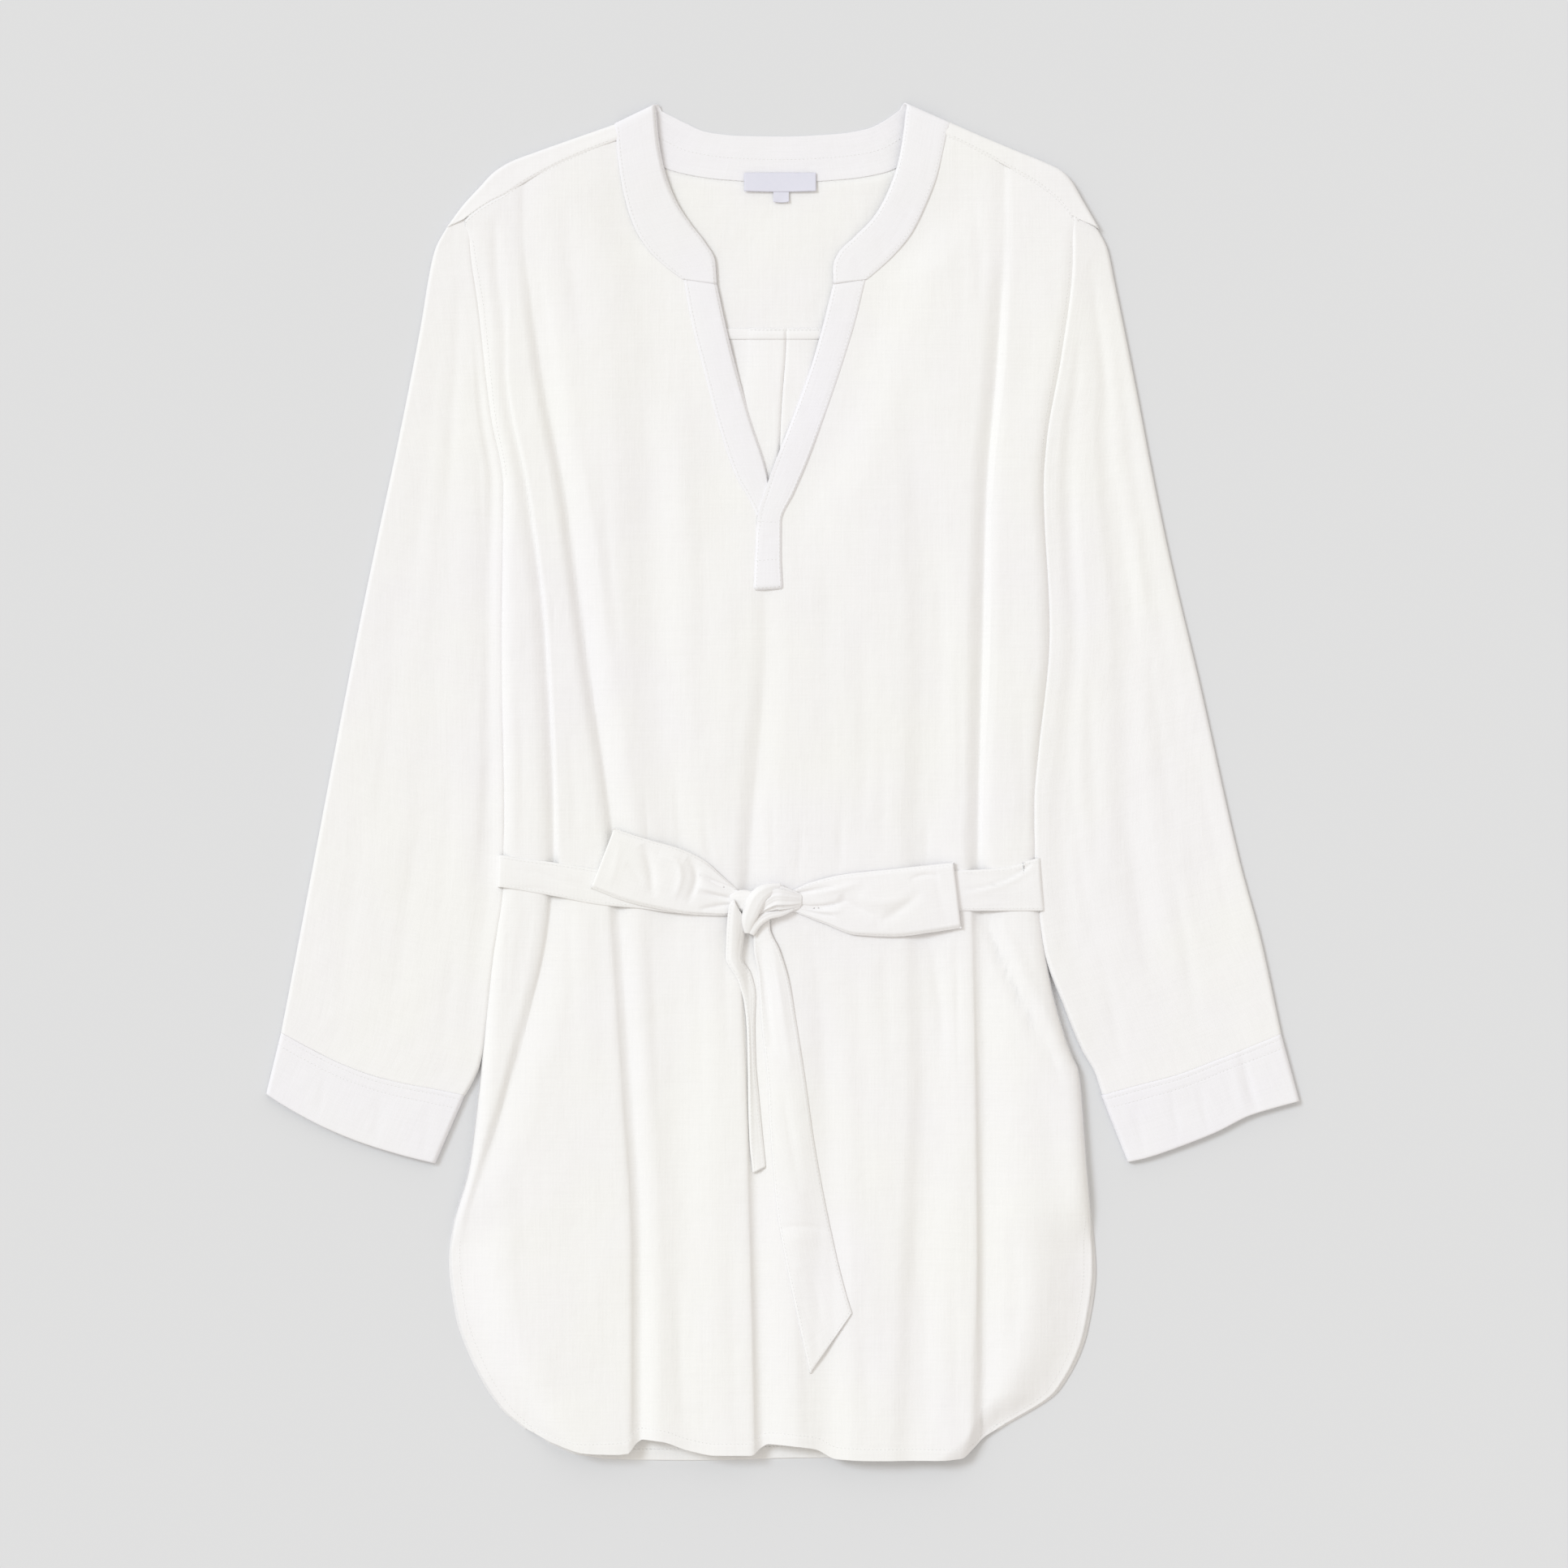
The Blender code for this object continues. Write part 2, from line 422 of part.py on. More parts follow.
def build_back(linen):
    """The back below the yoke: flat on the surface, lifted over the belt, with its centre box pleat."""
    y = station_rows()
    y = np.concatenate([[YOKE_SEAM - GAP], y[y < YOKE_SEAM - 8]])[:, None]
    left, right = table(LEFT_EDGE, y), table(RIGHT_EDGE, y)
    grown = 1.6 * ease(-y, 270, 330)  # the back shows past the front at the hem's curves
    left, right = left - grown, right + 1.4 * grown
    lay = np.array([-PLEAT_HALF - 4, -PLEAT_HALF, -2.5, 0, 2.5, PLEAT_HALF, PLEAT_HALF + 4])
    across = np.concatenate([left, left + (-40 - left) * np.array([0.12, 0.5, 0.9]), lay + 0 * left,
                             right + (40 - right) * np.array([0.9, 0.5, 0.12]), right], axis=1)
    drop = table(BACK_HEM, across) * ease(-y, 424 - HEM_LENGTH, 424)
    pleat = PLEAT_RAISE * (1 - ease(np.abs(across), PLEAT_HALF, PLEAT_HALF + 4)) * ease(np.abs(across), 0, 2.5)
    lift = BACK_LIFT * in_belt_zone(y) + pleat * ease(y, PLEAT_END, PLEAT_END + 90)
    down = np.broadcast_to(y, across.shape) - drop
    add_cloth("back_panel", [np.stack([across, down, lift], axis=-1)], linen)


def coons(bottom, top, left, right):
    """A sheet between four edges: the sum of the two ruled sheets, less the one through the corners."""
    u = np.linspace(0, 1, len(bottom))[None, :, None]
    v = np.linspace(0, 1, len(left))[:, None, None]
    corners = ((1 - u) * (1 - v) * bottom[0] + u * (1 - v) * bottom[-1]
               + (1 - u) * v * top[0] + u * v * top[-1])
    return ((1 - v) * bottom + v * top + (1 - u) * left[:, None] + u * right[:, None] - corners)


def build_yoke(linen):
    """The back yoke: flat at the back, rolled over each shoulder to a strip on the front."""
    shoulder_columns, neck_columns, plate_rows = 7, 11, 6
    radius = SHOULDER_HEIGHT / 2
    turn = np.linspace(-np.pi / 2, np.pi / 2, 6)
    flaps, shoulders = [], []
    for line, seam in ((SHOULDER_LEFT, YOKE_SEAM_LEFT), (SHOULDER_RIGHT, YOKE_SEAM_RIGHT)):
        line, seam = trace(line, shoulder_columns), trace(seam, shoulder_columns)
        inwards = seam - line
        inwards /= np.linalg.norm(inwards, axis=1)[:, None]
        roll = [np.column_stack([line + inwards * radius * (1 - np.cos(a)),
                                 np.full(shoulder_columns, radius * (1 + np.sin(a)))]) for a in turn]
        strip = np.column_stack([seam, np.full(shoulder_columns, SHOULDER_HEIGHT)])
        flaps.append(np.stack([*roll, strip]))
        shoulders.append(flaps[-1][0, :, :2])
    neck = trace([row[2:4] for row in NECK_BAND[BACK_NECK_FIRST:BACK_NECK_LAST + 1]], neck_columns)
    neck[:, 1] -= 2.0
    neck[0], neck[-1] = shoulders[0][-1], shoulders[1][-1]
    top = np.concatenate([shoulders[0], neck[1:-1], shoulders[1][::-1]])
    left, right = trace(YOKE_SIDE_LEFT, plate_rows), trace(YOKE_SIDE_RIGHT, plate_rows)
    left[-1], right[-1] = top[0], top[-1]
    bottom = np.column_stack([np.linspace(left[0, 0], right[0, 0], len(top)), np.full(len(top), left[0, 1])])
    plate = coons(bottom, top, left, right)
    plate = np.concatenate([plate, np.zeros((*plate.shape[:2], 1))], axis=-1)
    return add_cloth("back_yoke", [plate[::-1], flaps[0][::-1], flaps[1][::-1, ::-1]], linen)


def build_neck_band(linen):
    """The band round the neck: on the front, rolled over at the shoulders, flat at the back."""
    left, right = BACK_NECK_FIRST - 1, BACK_NECK_LAST + 1
    fronts = [trace(NECK_BAND[:left], 15), trace(NECK_BAND[right + 1:], 15)]
    fronts = [np.column_stack([part[:, :4], loft(part[:, 3]) - neck_dip(part[:, 1]) + GAP + WALL])
              for part in fronts]
    back = trace(NECK_BAND[left + 1:right], 15)
    parts = [fronts[0]]
    for over, roll, under in ((fronts[0][-1], NECK_BAND[left], back[0]), (fronts[1][0], NECK_BAND[right], back[-1])):
        turn = np.radians((54, 18, -18, -54))[:, None]
        lean = np.array(roll[:4]) - (over[:4] + under[:4]) / 2
        flat = (over[:4] + under[:4]) / 2 + (over[:4] - under[:4]) / 2 * np.sin(turn) + lean * np.cos(turn)
        parts.append(np.column_stack([flat, over[4] / 2 * (1 + np.sin(turn))]))
    rows = np.concatenate([parts[0], parts[1], back, parts[2][::-1], fronts[1]])
    shares = np.array([0.0, 0.5, 1.0])[None, :, None]
    flat = rows[:, None, 2:4] + (rows[:, None, :2] - rows[:, None, 2:4]) * shares
    level = np.repeat(rows[:, 4:], 3, axis=1)[..., None]
    add_cloth("neck_band", [np.concatenate([flat, level], axis=-1)], linen)


def build_placket(name, table_rows, linen, over):
    """A straight band down one side of the neck slit; the over one climbs onto the other."""
    rows = trace(table_rows, 16)
    shares = np.array([0.0, 0.5, 1.0])[None, :, None]
    flat = rows[:, None, :2] + (rows[:, None, 2:4] - rows[:, None, :2]) * shares
    height = loft(flat[..., 1]) - neck_dip(flat[..., 1]) + GAP + WALL
    if over:
        height = height + (GAP + WALL) * (1 - ease(flat[..., 1], OVERLAP_FOOT, OVERLAP_TOP))
        flat = flat[::-1]
        height = height[::-1]
    return add_cloth(name, [np.concatenate([flat, height[..., None]], axis=-1)], linen)


def around(count_top, width):
    """Shares across each row of a flattened tube, closer together at its rounded edges."""
    near = np.array([0, 0.25, 0.65, 1.1]) * EDGE_RADIUS / width
    middle = near[:, -1:] + (1 - 2 * near[:, -1:]) * np.linspace(0, 1, count_top)[1:-1]
    return np.concatenate([near, middle, 1 - near[:, ::-1]], axis=1)


def lay_out(plan, count_top):
    """Points across each row of a tube's plan, with the rows' shares and widths."""
    width = np.linalg.norm(plan[:, -1] - plan[:, 0], axis=-1)[:, None]
    shares = around(count_top, width)
    fine = np.linspace(0, 1, plan.shape[1])
    rows = [np.column_stack([np.interp(share, fine, row[:, 0]), np.interp(share, fine, row[:, 1])])
            for share, row in zip(shares, plan)]
    return np.stack(rows), shares, width


def tube(plan, height, shares, width):
    """A flattened tube: its upper face from edge to edge, then its flat underside back again."""
    inwards = np.minimum(shares, 1 - shares) * width / EDGE_RADIUS
    bulge = np.sqrt(1 - (1 - np.clip(inwards, 0, 1)) ** 2)
    middle = height.min(axis=1, keepdims=True) / 2
    upper = middle + (height - middle) * bulge
    lower = middle * (1 - bulge)
    top = np.concatenate([plan, upper[..., None]], axis=-1)
    under = np.concatenate([plan, lower[..., None]], axis=-1)[:, -2:0:-1]
    return np.concatenate([top, under], axis=1)


def beside_body(side, rows):
    """Points that lie so far outside the body's edge."""
    y, clear = np.asarray(rows, float).T
    if side == "left":
        return np.column_stack([table(LEFT_EDGE, y) - clear, y])
    return np.column_stack([table(RIGHT_EDGE, y) + clear, y])


def build_sleeve(side, sizes, linen):
    """A sleeve: a flattened tube from the armhole to the cuff seam, with its long soft troughs."""
    rows = 17
    seam = np.concatenate([sizes["armhole"], sizes["inner"][1:]])
    inner = beside_body(side, [(y, np.interp(-y, -seam[:, 0], seam[:, 1]))
                               for y in np.linspace(seam[0, 0], seam[-1, 0], 60)])
    plan = coons(trace(sizes["shoulder"], 60), trace(sizes["cuff_seam"], 60), trace(sizes["outer"], rows),
                 trace(inner, rows))
    plan, shares, width = lay_out(plan, 7)
    along = np.linspace(0, 1, rows)[:, None]
    height = SLEEVE_HEIGHT - (SLEEVE_HEIGHT - CUFF_HEIGHT) * ease(along, 0.85, 1)
    for at_head, at_cuff, depth, half in SLEEVE_TROUGHS[side]:
        away = np.clip((shares - at_head - (at_cuff - at_head) * along) / half, -1, 1)
        shown = ease(along, 0.1, 0.3) * (1 - ease(along, 0.7, 1))
        height = height - depth * 0.5 * (1 + np.cos(np.pi * away)) * shown
    grid = tube(plan, height + 0 * shares, shares, width)
    add_cloth(f"sleeve_{side}", [grid[::-1] if side == "left" else grid], linen, wrapped=True)


def build_cuff(side, sizes, linen):
    """The cuff: a flattened tube that starts a seam's gap past the sleeve."""
    seam, hem = trace(sizes["cuff_seam"], 60), trace(sizes["cuff_hem"], 60)
    down = hem - seam
    seam = seam + down / np.linalg.norm(down, axis=1)[:, None] * 0.6
    rows = np.linspace(0, 1, 4)[:, None, None]
    plan, shares, width = lay_out(seam + (hem - seam) * rows, 7)
    grid = tube(plan, np.full(shares.shape, CUFF_HEIGHT), shares, width)
    add_cloth(f"cuff_{side}", [grid[::-1] if side == "left" else grid], linen, wrapped=True)


def build_belt_front(side, sections, linen):
    """A stretch of belt from the knot, over the front and round the side of the body."""
    rows = trace([(x, up, x, low) for x, up, low in sections], 10)
    edge = sections[-1][0]
    outwards = -1 if side == "left" else 1
    flat = rows[(edge - rows[:, 0]) * outwards > -BELT_TURN[0][0]]
    turn = trace([(out, height, 0) for out, height in BELT_TURN], 12)
    shares = np.linspace(0, 1, 4)
    down = rows[-1, 1] + (rows[-1, 3] - rows[-1, 1]) * shares
    body = table(LEFT_EDGE if side == "left" else RIGHT_EDGE, down)
    over = [np.column_stack([0 * shares + x, up + (low - up) * shares, 0 * shares + BELT_TURN[0][1]])
            for x, up, _, low in flat]
    over += [np.column_stack([body + outwards * out, down, 0 * shares + height]) for out, height, _ in turn]
    grid = np.array(over)
    add_cloth(f"belt_front_{side}", [grid[::-1] if side == "left" else grid], linen)


def build_belt_back(linen):
    """The stretch of belt behind the body, flat on the surface."""
    rows = trace([(x, up, x, low) for x, up, low in BELT_BACK], 12)
    grid = np.stack([np.column_stack([rows[:, 0], rows[:, 1], 0 * rows[:, 0]]),
                     np.column_stack([rows[:, 0], rows[:, 3], 0 * rows[:, 0]])], axis=0)
    add_cloth("belt_back", [grid[::-1, ::-1]], linen)


def build_loop(side, sections, linen):
    """A bow loop: out along the lower layer, round the fold, and back along the upper one."""
    rows, half_turn = trace(sections, 9), np.linspace(-np.pi / 2, np.pi / 2, 6)
    radius = (LOOP_CROWN - LOOP_FLOOR) / 2
    outwards = rows[-1] - rows[-2]
    outwards = np.tile(outwards[:2] / np.linalg.norm(outwards[:2]), 2)
    rise = LOOP_CROWN - 1.0 * (1 - ease(np.arange(9), 0, 5))
    lower = [(*row, LOOP_FLOOR) for row in rows]
    round_it = [(*(rows[-1] + outwards * radius * np.cos(a)), LOOP_FLOOR + radius * (1 + np.sin(a)))
                for a in half_turn[1:-1]]
    upper = [(*row, height) for row, height in zip(rows[::-1], rise[::-1])]
    path = np.array(lower + round_it + upper)
    shares = np.linspace(0, 1, 4)[None, :, None]
    flat = path[:, None, :2] + (path[:, None, 2:4] - path[:, None, :2]) * shares
    level = np.repeat(path[:, None, 4:], 4, axis=1)
    grid = np.concatenate([flat, level], axis=-1)
    add_cloth(f"bow_loop_{side}", [grid if side == "left" else grid[::-1]], linen)


def build_knot(linen):
    """The knot: a rounded lump, a sphere squared up a little and stretched."""
    around_it, up = np.meshgrid(np.linspace(0, 2 * np.pi, 21)[:-1], np.linspace(-np.pi / 2, np.pi / 2, 10)[1:-1])
    power = 2 / KNOT["squareness"]

    def bent(value):
        return np.sign(value) * np.abs(value) ** power

    ball = np.stack([bent(np.cos(up)) * bent(np.cos(around_it)), bent(np.cos(up)) * bent(np.sin(around_it)),
                     bent(np.sin(up))], axis=-1)
    points = (ball * KNOT["half"] + KNOT["centre"]).reshape(-1, 3)
    rows, columns = up.shape
    faces = grid_faces(rows, columns, 0, True).tolist()
    foot, crown = len(points), len(points) + 1
    centre, half = np.array(KNOT["centre"]), np.array((0, 0, KNOT["half"][2]))
    points = np.concatenate([points, [centre - half], [centre + half]])
    last = (rows - 1) * columns
    triangles = [(foot, (j + 1) % columns, j) for j in range(columns)]
    triangles += [(crown, last + j, last + (j + 1) % columns) for j in range(columns)]
    mesh = bpy.data.meshes.new("belt_knot")
    mesh.from_pydata((points * MM).tolist(), [], faces + triangles)
    mesh.materials.append(linen)
    mesh.shade_smooth()
    bpy.context.scene.collection.objects.link(bpy.data.objects.new("belt_knot", mesh))


def build_long_tail(linen):
    """The long tail, spread flat over the skirt down to its slanted end."""
    rows = trace(TAIL_LONG, 18)
    shares = np.linspace(0, 1, 4)[None, :, None]
    flat = rows[:, None, :2] + (rows[:, None, 2:4] - rows[:, None, :2]) * shares
    height = loft(flat[..., 1]) + GAP + WALL
    add_cloth("belt_tail_long", [np.concatenate([flat, height[..., None]], axis=-1)[::-1]], linen)


def build_short_tail(linen):
    """The short tail, folded along its length, so that it stands up in a narrow ridge."""
    rows = trace([(*row, height) for row, height in zip(TAIL_SHORT, SHORT_TAIL_HEIGHTS)], 18)
    shares = np.linspace(0, 1, 5)[None, :, None]
    flat = rows[:, None, :2] + (rows[:, None, 2:4] - rows[:, None, :2]) * shares
    height = rows[:, None, 4:] + SHORT_TAIL_CREST * np.sin(np.pi * shares)
    add_cloth("belt_tail_short", [np.concatenate([flat, height], axis=-1)[::-1]], linen)


def build_labels(satin):
    """The neck label and the size tab below it, lying on the yoke inside the neck."""
    for name, (x_from, x_to, y_from, y_to) in (("neck_label", NECK_LABEL), ("size_tab", SIZE_TAB)):
        x, y = np.meshgrid(np.linspace(x_from, x_to, 6), np.linspace(y_from, y_to, 2))
        level = np.full(x.shape, WALL + GAP + LABEL_LIFT)
        add_cloth(name, [np.stack([x, y, level], axis=-1)], satin, wall=LABEL_LIFT)


def build_blouse():
    """Clears the scene and builds every piece of the blouse."""
    for old in list(bpy.data.objects):
        bpy.data.objects.remove(old)
    linen = make_material("white_linen", LINEN, 0.85)
    satin = make_material("label_satin", LABEL_SATIN, 0.5)
    build_front(linen)
    build_back(linen)
    build_yoke(linen)
    build_neck_band(linen)
    build_placket("placket_under", PLACKET_UNDER, linen, over=False)
    build_placket("placket_over", PLACKET_OVER, linen, over=True)
    for side, sizes in (("left", SLEEVE_LEFT), ("right", SLEEVE_RIGHT)):
        build_sleeve(side, sizes, linen)
        build_cuff(side, sizes, linen)
    build_belt_front("left", BELT_LEFT, linen)
    build_belt_front("right", BELT_RIGHT, linen)
    build_belt_back(linen)
    build_loop("left", LOOP_LEFT, linen)
    build_loop("right", LOOP_RIGHT, linen)
    build_knot(linen)
    build_long_tail(linen)
    build_short_tail(linen)
    build_labels(satin)


build_blouse()
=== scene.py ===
"""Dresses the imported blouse: thin linen shells on the solids' form, with creases, seams and stitching.

Frame: metres, +X right, +Y to the neck, +Z up from the surface. Tables are in millimetres, or in
plan steps where they say so: a step is 0.53 mm, counted right and down from a corner up and left.
"""

import bmesh
import bpy
import numpy as np
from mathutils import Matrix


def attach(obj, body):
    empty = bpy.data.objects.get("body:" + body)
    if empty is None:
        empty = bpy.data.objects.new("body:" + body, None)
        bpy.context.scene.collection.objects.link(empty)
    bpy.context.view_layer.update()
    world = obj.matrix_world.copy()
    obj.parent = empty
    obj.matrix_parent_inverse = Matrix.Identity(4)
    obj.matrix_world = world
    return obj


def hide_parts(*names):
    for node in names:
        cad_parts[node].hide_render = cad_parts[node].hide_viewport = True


bl_info = {
    "name": "Linen tunic blouse",
    "version": (1, 0, 0),
    "blender": (4, 5, 0),
    "location": "View3D > Sidebar > Blouse",
    "description": "Dresses a flat-laid linen tunic blouse with its tie belt",
    "category": "Object",
}

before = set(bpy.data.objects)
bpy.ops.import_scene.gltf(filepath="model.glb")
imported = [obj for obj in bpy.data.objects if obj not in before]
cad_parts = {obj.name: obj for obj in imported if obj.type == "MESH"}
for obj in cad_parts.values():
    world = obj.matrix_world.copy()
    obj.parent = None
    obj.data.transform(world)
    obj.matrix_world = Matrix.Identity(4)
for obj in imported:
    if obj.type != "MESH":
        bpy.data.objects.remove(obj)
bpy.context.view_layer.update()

MM = 0.001
STEP = 0.53  # one plan step, in millimetres
PLAN_SIZE = 1932  # how many plan steps the view takes in, each way
MIDDLE = (966.0, 962.0)  # the frame's origin, in plan steps
WALL, GAP = 1.0, 0.3  # the solids' cloth and clearance
THIN, FINER = 0.0009, 0.0008  # shells of double cloth and of the belt, in metres
LABEL_SHELL, SEAM_SHELL = 0.0004, 0.0005
HEM_STITCH, BAND_STITCH, BELT_STITCH = 7.6, 2.4, 1.9  # how far inside an edge a row of stitches runs

BACK_LIFT = WALL + GAP
BELT_TOP, BELT_FOOT, BELT_EASE = -43.0, -93.0, 14.0
SHOULDER_HEIGHT = 6.0
# Height of the front's ridges over the surface
LOFT = {"y": (430, 330, 260, 190, 60, -44, -92, -205, -310, -424),
        "height": (6.0, 6.6, 8.0, 9.5, 9.5, 8.0, 8.0, 10.0, 11.0, 12.0)}
# The body's side edges, from the shoulder point to the hem
LEFT_EDGE = {"y": (366, 355, 306, 240, 192, 86, -20, -70, -115, -206, -253, -293, -310, -349, -380,
                   -411, -424),
             "x": (-208.5, -208, -201, -193, -184.5, -185.5, -184, -184.5, -191, -200, -206, -216.5, -218,
                   -213.5, -202.5, -183.5, -168)}
RIGHT_EDGE = {"y": (366, 358, 335, 277, 221, 192, 96, 17, -15, -48, -89, -129, -175, -190, -237,
                    -317, -359, -398, -424),
              "x": (192.5, 192, 191, 183, 173, 171, 175, 167.5, 165, 165, 168, 174, 186.5, 193, 197,
                    202, 196.5, 178.5, 139)}
SHOULDER_POINT, SLIT_FOOT = 366.0, 177.0
# The front's top edge along the yoke: how far it climbs above the shoulder point
TOP_LEFT = {"x": (-208.5, -204.5, -194, -183, -173, -160, -141, -111, -92),
            "rise": (0, 4, 11.5, 17.5, 24.5, 32, 41.5, 53.5, 57.5)}
TOP_RIGHT = {"x": (88, 107.5, 132, 150, 167, 178, 185, 188.5, 192.5),
             "rise": (60, 56.5, 44.5, 34.5, 24.5, 16, 8.5, 3, 0)}
# The two sides of the neck opening in the front
NECK_LEFT = {"y": (424, 396, 376, 360, 346, 336, 298, 266, 229, 200, 177),
             "x": (-96, -91, -86, -77, -66, -56, -49, -40, -29, -20, -12)}
NECK_RIGHT = {"y": (430, 400, 376, 356, 342, 332, 298, 266, 229, 198, 177),
              "x": (92, 87, 79, 68, 56, 44, 35, 26, 12, 1, -12)}
# How far the front sinks beside the opening, and how far from it that starts and ends dying out
NECK_DIP = {"y": (430, 412, 345, 200, 112, 90), "dip": (0, 0, 3, 3, 0, 0)}
DIP_ENDS = (20.0, 56.0)
BAND_RISE = 0.75  # how far a band's outer face is over the front
# The shirt-tail hem: how far each place hangs below a straight cut, all of it in the last HEM_LENGTH
HEM = {"x": (-168, -150, -128, -104, -92, -80, -62, -45, -22, -10, 0, 20, 34, 60, 100, 116, 124, 131, 139),
       "drop": (0, 9, 15, 15.5, 6, 7, 13, 16, 16, 9, 9.5, 12, 18.5, 19.5, 19.5, 18.5, 12, 5, 0)}
HEM_LENGTH = 70.0

# Folds from the shoulders to the hem: their lines across and their depths at each station
STATIONS = (350, 270, 190, 95, -45, -95, -205, -310, -424)
FOLD_NAMES = ("side_left", "front_left", "soft_left", "centre", "skirt_centre", "soft_right",
              "front_right")
FOLD_LINES = {
    "side_left": (-182, -182, -168, -156, -150, -154, -182, -209, -210),
    "front_left": (-170, -159, -144, -131, -111, -107.5, -100, -94, -94),
    "soft_left": (-101, -90, -86, -85, -76, -75, -69, -67, -61),
    "centre": (-12, -12, -12, -12, -22, -24, -20, -17, -14),
    "skirt_centre": (30, 30, 30, 30, 28, 27, 27, 27, 27),
    "soft_right": (84, 84, 87, 92, 90, 90, 92, 87, 82),
    "front_right": (144, 139, 132.5, 130, 127, 128, 130, 131, 129),
}
FOLD_DEPTHS = {
    "side_left": (0, 1, 2.4, 3.2, 3.8, 3.4, 3.6, 1.4, 0),
    "front_left": (1, 3.6, 4.4, 4.6, 3.6, 3.2, 3.8, 4.2, 4.6),
    "soft_left": (1, 2.2, 2.6, 2.6, 1.8, 1.8, 2.6, 2.2, 1.8),
    "centre": (0, 0, 0, 1.4, 3, 3.2, 3.8, 4.2, 4.6),
    "skirt_centre": (0, 0, 0, 0, 0, 0, 1.6, 2.4, 2.8),
    "soft_right": (0, 0.5, 1, 1.8, 2.2, 2.2, 2.6, 2.6, 1.8),
    "front_right": (1, 3.6, 4.4, 4.8, 4.2, 3.6, 4.2, 4.6, 5.2),
}
# Wall widths and lips, above the belt and below it: left wall, right wall, left lip, right lip
FOLD_WALLS = {
    "side_left": ((10, 3.2, 0, 0.1), (5, 24, 0, 0)),
    "front_left": ((8, 18, 0, 0), (10, 15, 0.15, 0)),
    "soft_left": ((26, 26, 0, 0), (26, 26, 0, 0)),
    "centre": ((12, 17, 0, 0), (9, 26, 0.2, 0)),
    "skirt_centre": ((20, 20, 0, 0), (20, 20, 0, 0)),
    "soft_right": ((16, 30, 0, 0), (14, 30, 0, 0)),
    "front_right": ((12, 6.5, 0, 0), (9, 30, 0.2, 0)),
}
# How crisp a groove's floor is: 1 is round
FOLD_FLOORS = {"side_left": 0.68, "front_left": 0.7, "soft_left": 0.95, "centre": 0.74,
               "skirt_centre": 1.0, "soft_right": 0.95, "front_right": 0.7}
# A fold this deep has its whole lip; lips die out between these distances below the origin
FULL_LIP_DEPTH = 5.0
LIPS_END = {name: (400.0, 440.0) for name in FOLD_NAMES} | {"front_right": (330.0, 385.0)}
LEFT_FOLDS, RIGHT_FOLDS = FOLD_NAMES[:3], FOLD_NAMES[4:]
SIDE_ROLL, HEM_ROLL = 10.0, 42.0

YOKE_SEAM = 292.0
SEAM_TOP, ZIGZAGS = 1.2, 620  # the yoke seam's height over the back, and the points of its zigzag
BACK_HEM = {"x": (-166, -150, -125, -100, -60, -30, 0, 60, 110, 135),
            "drop": (0, 11, 19, 20, 20.5, 20, 19, 18, 12, 0)}
# The box pleat: half its width, its height over the back and the y at which it dies out
PLEAT_HALF, PLEAT_RAISE, PLEAT_END = 22.0, 1.2, 20.0
# How far the back is pushed up under the neck slit, and more at its foot, and the slit's line
SLIT_LIFT, SLIT_FOOT_LIFT, SLIT_X = 2.3, 1.0, -2.0
PLEAT_LINE = {"y": (292, 279, 245, 218, -440), "x": (1.5, 1.0, -1.6, -2.6, -3.0)}

# The yoke: its fold over each shoulder, its seam on the front and its sides, x and y
SHOULDER_LEFT = ((-221, 361), (-210, 376), (-199, 388), (-190, 397.5), (-179, 404.5), (-162, 411),
                 (-141, 418.5), (-111, 429), (-106.5, 430.6))
SHOULDER_RIGHT = ((206, 361), (195, 380), (188, 392), (181, 399), (172, 403.5), (150, 412.5),
                  (124, 423.5), (107, 431), (102.5, 432.9))
YOKE_SEAM_LEFT = ((-211.5, 365.5), (-204.5, 371.3), (-194, 378.8), (-183, 384.8), (-173, 391.8),
                  (-160, 399.3), (-141, 408.8), (-111, 420.8), (-106.5, 422.4))
YOKE_SEAM_RIGHT = ((195.5, 365.5), (188.5, 370.3), (185, 375.8), (178, 383.3), (167, 391.8), (150, 401.8),
                   (132, 411.8), (107.5, 423.8), (103, 425.7))
YOKE_SIDE_LEFT = ((-200, 292.3), (-203.5, 318), (-206.5, 338), (-209, 351), (-219, 357.5))
YOKE_SIDE_RIGHT = ((185.5, 292.3), (188, 310), (190.5, 330), (192.5, 348), (203.5, 357))

# Neck band: inner edge x and y, outer edge x and y
BAND_FRONT_LEFT = (
    (-43.8, 324.4, -65.0, 327.5), (-45.0, 340.3, -74.5, 335.0), (-51.0, 351.4, -85.0, 344.5),
    (-61.0, 364.5, -94.0, 357.0), (-70.5, 379.5, -100.7, 373.5), (-78.0, 399.5, -105.0, 392.5),
    (-82.0, 421.0, -107.5, 411.0), (-83.5, 438.0, -108.5, 424.5))
BAND_ROLL_LEFT, BAND_ROLL_RIGHT = (-83.2, 442.8, -109.0, 430.0), (79.2, 443.2, 106.3, 430.5)
BAND_BACK = (
    (-80.0, 438.0, -105.5, 421.0), (-65.0, 430.5, -89.0, 407.5), (-51.0, 424.5, -68.0, 399.0),
    (-31.0, 422.0, -39.0, 394.5), (0.0, 421.5, 0.0, 392.7), (33.0, 423.0, 39.0, 394.8),
    (54.0, 426.3, 65.0, 399.0), (66.0, 432.0, 84.0, 408.5), (76.0, 439.0, 100.0, 422.0))
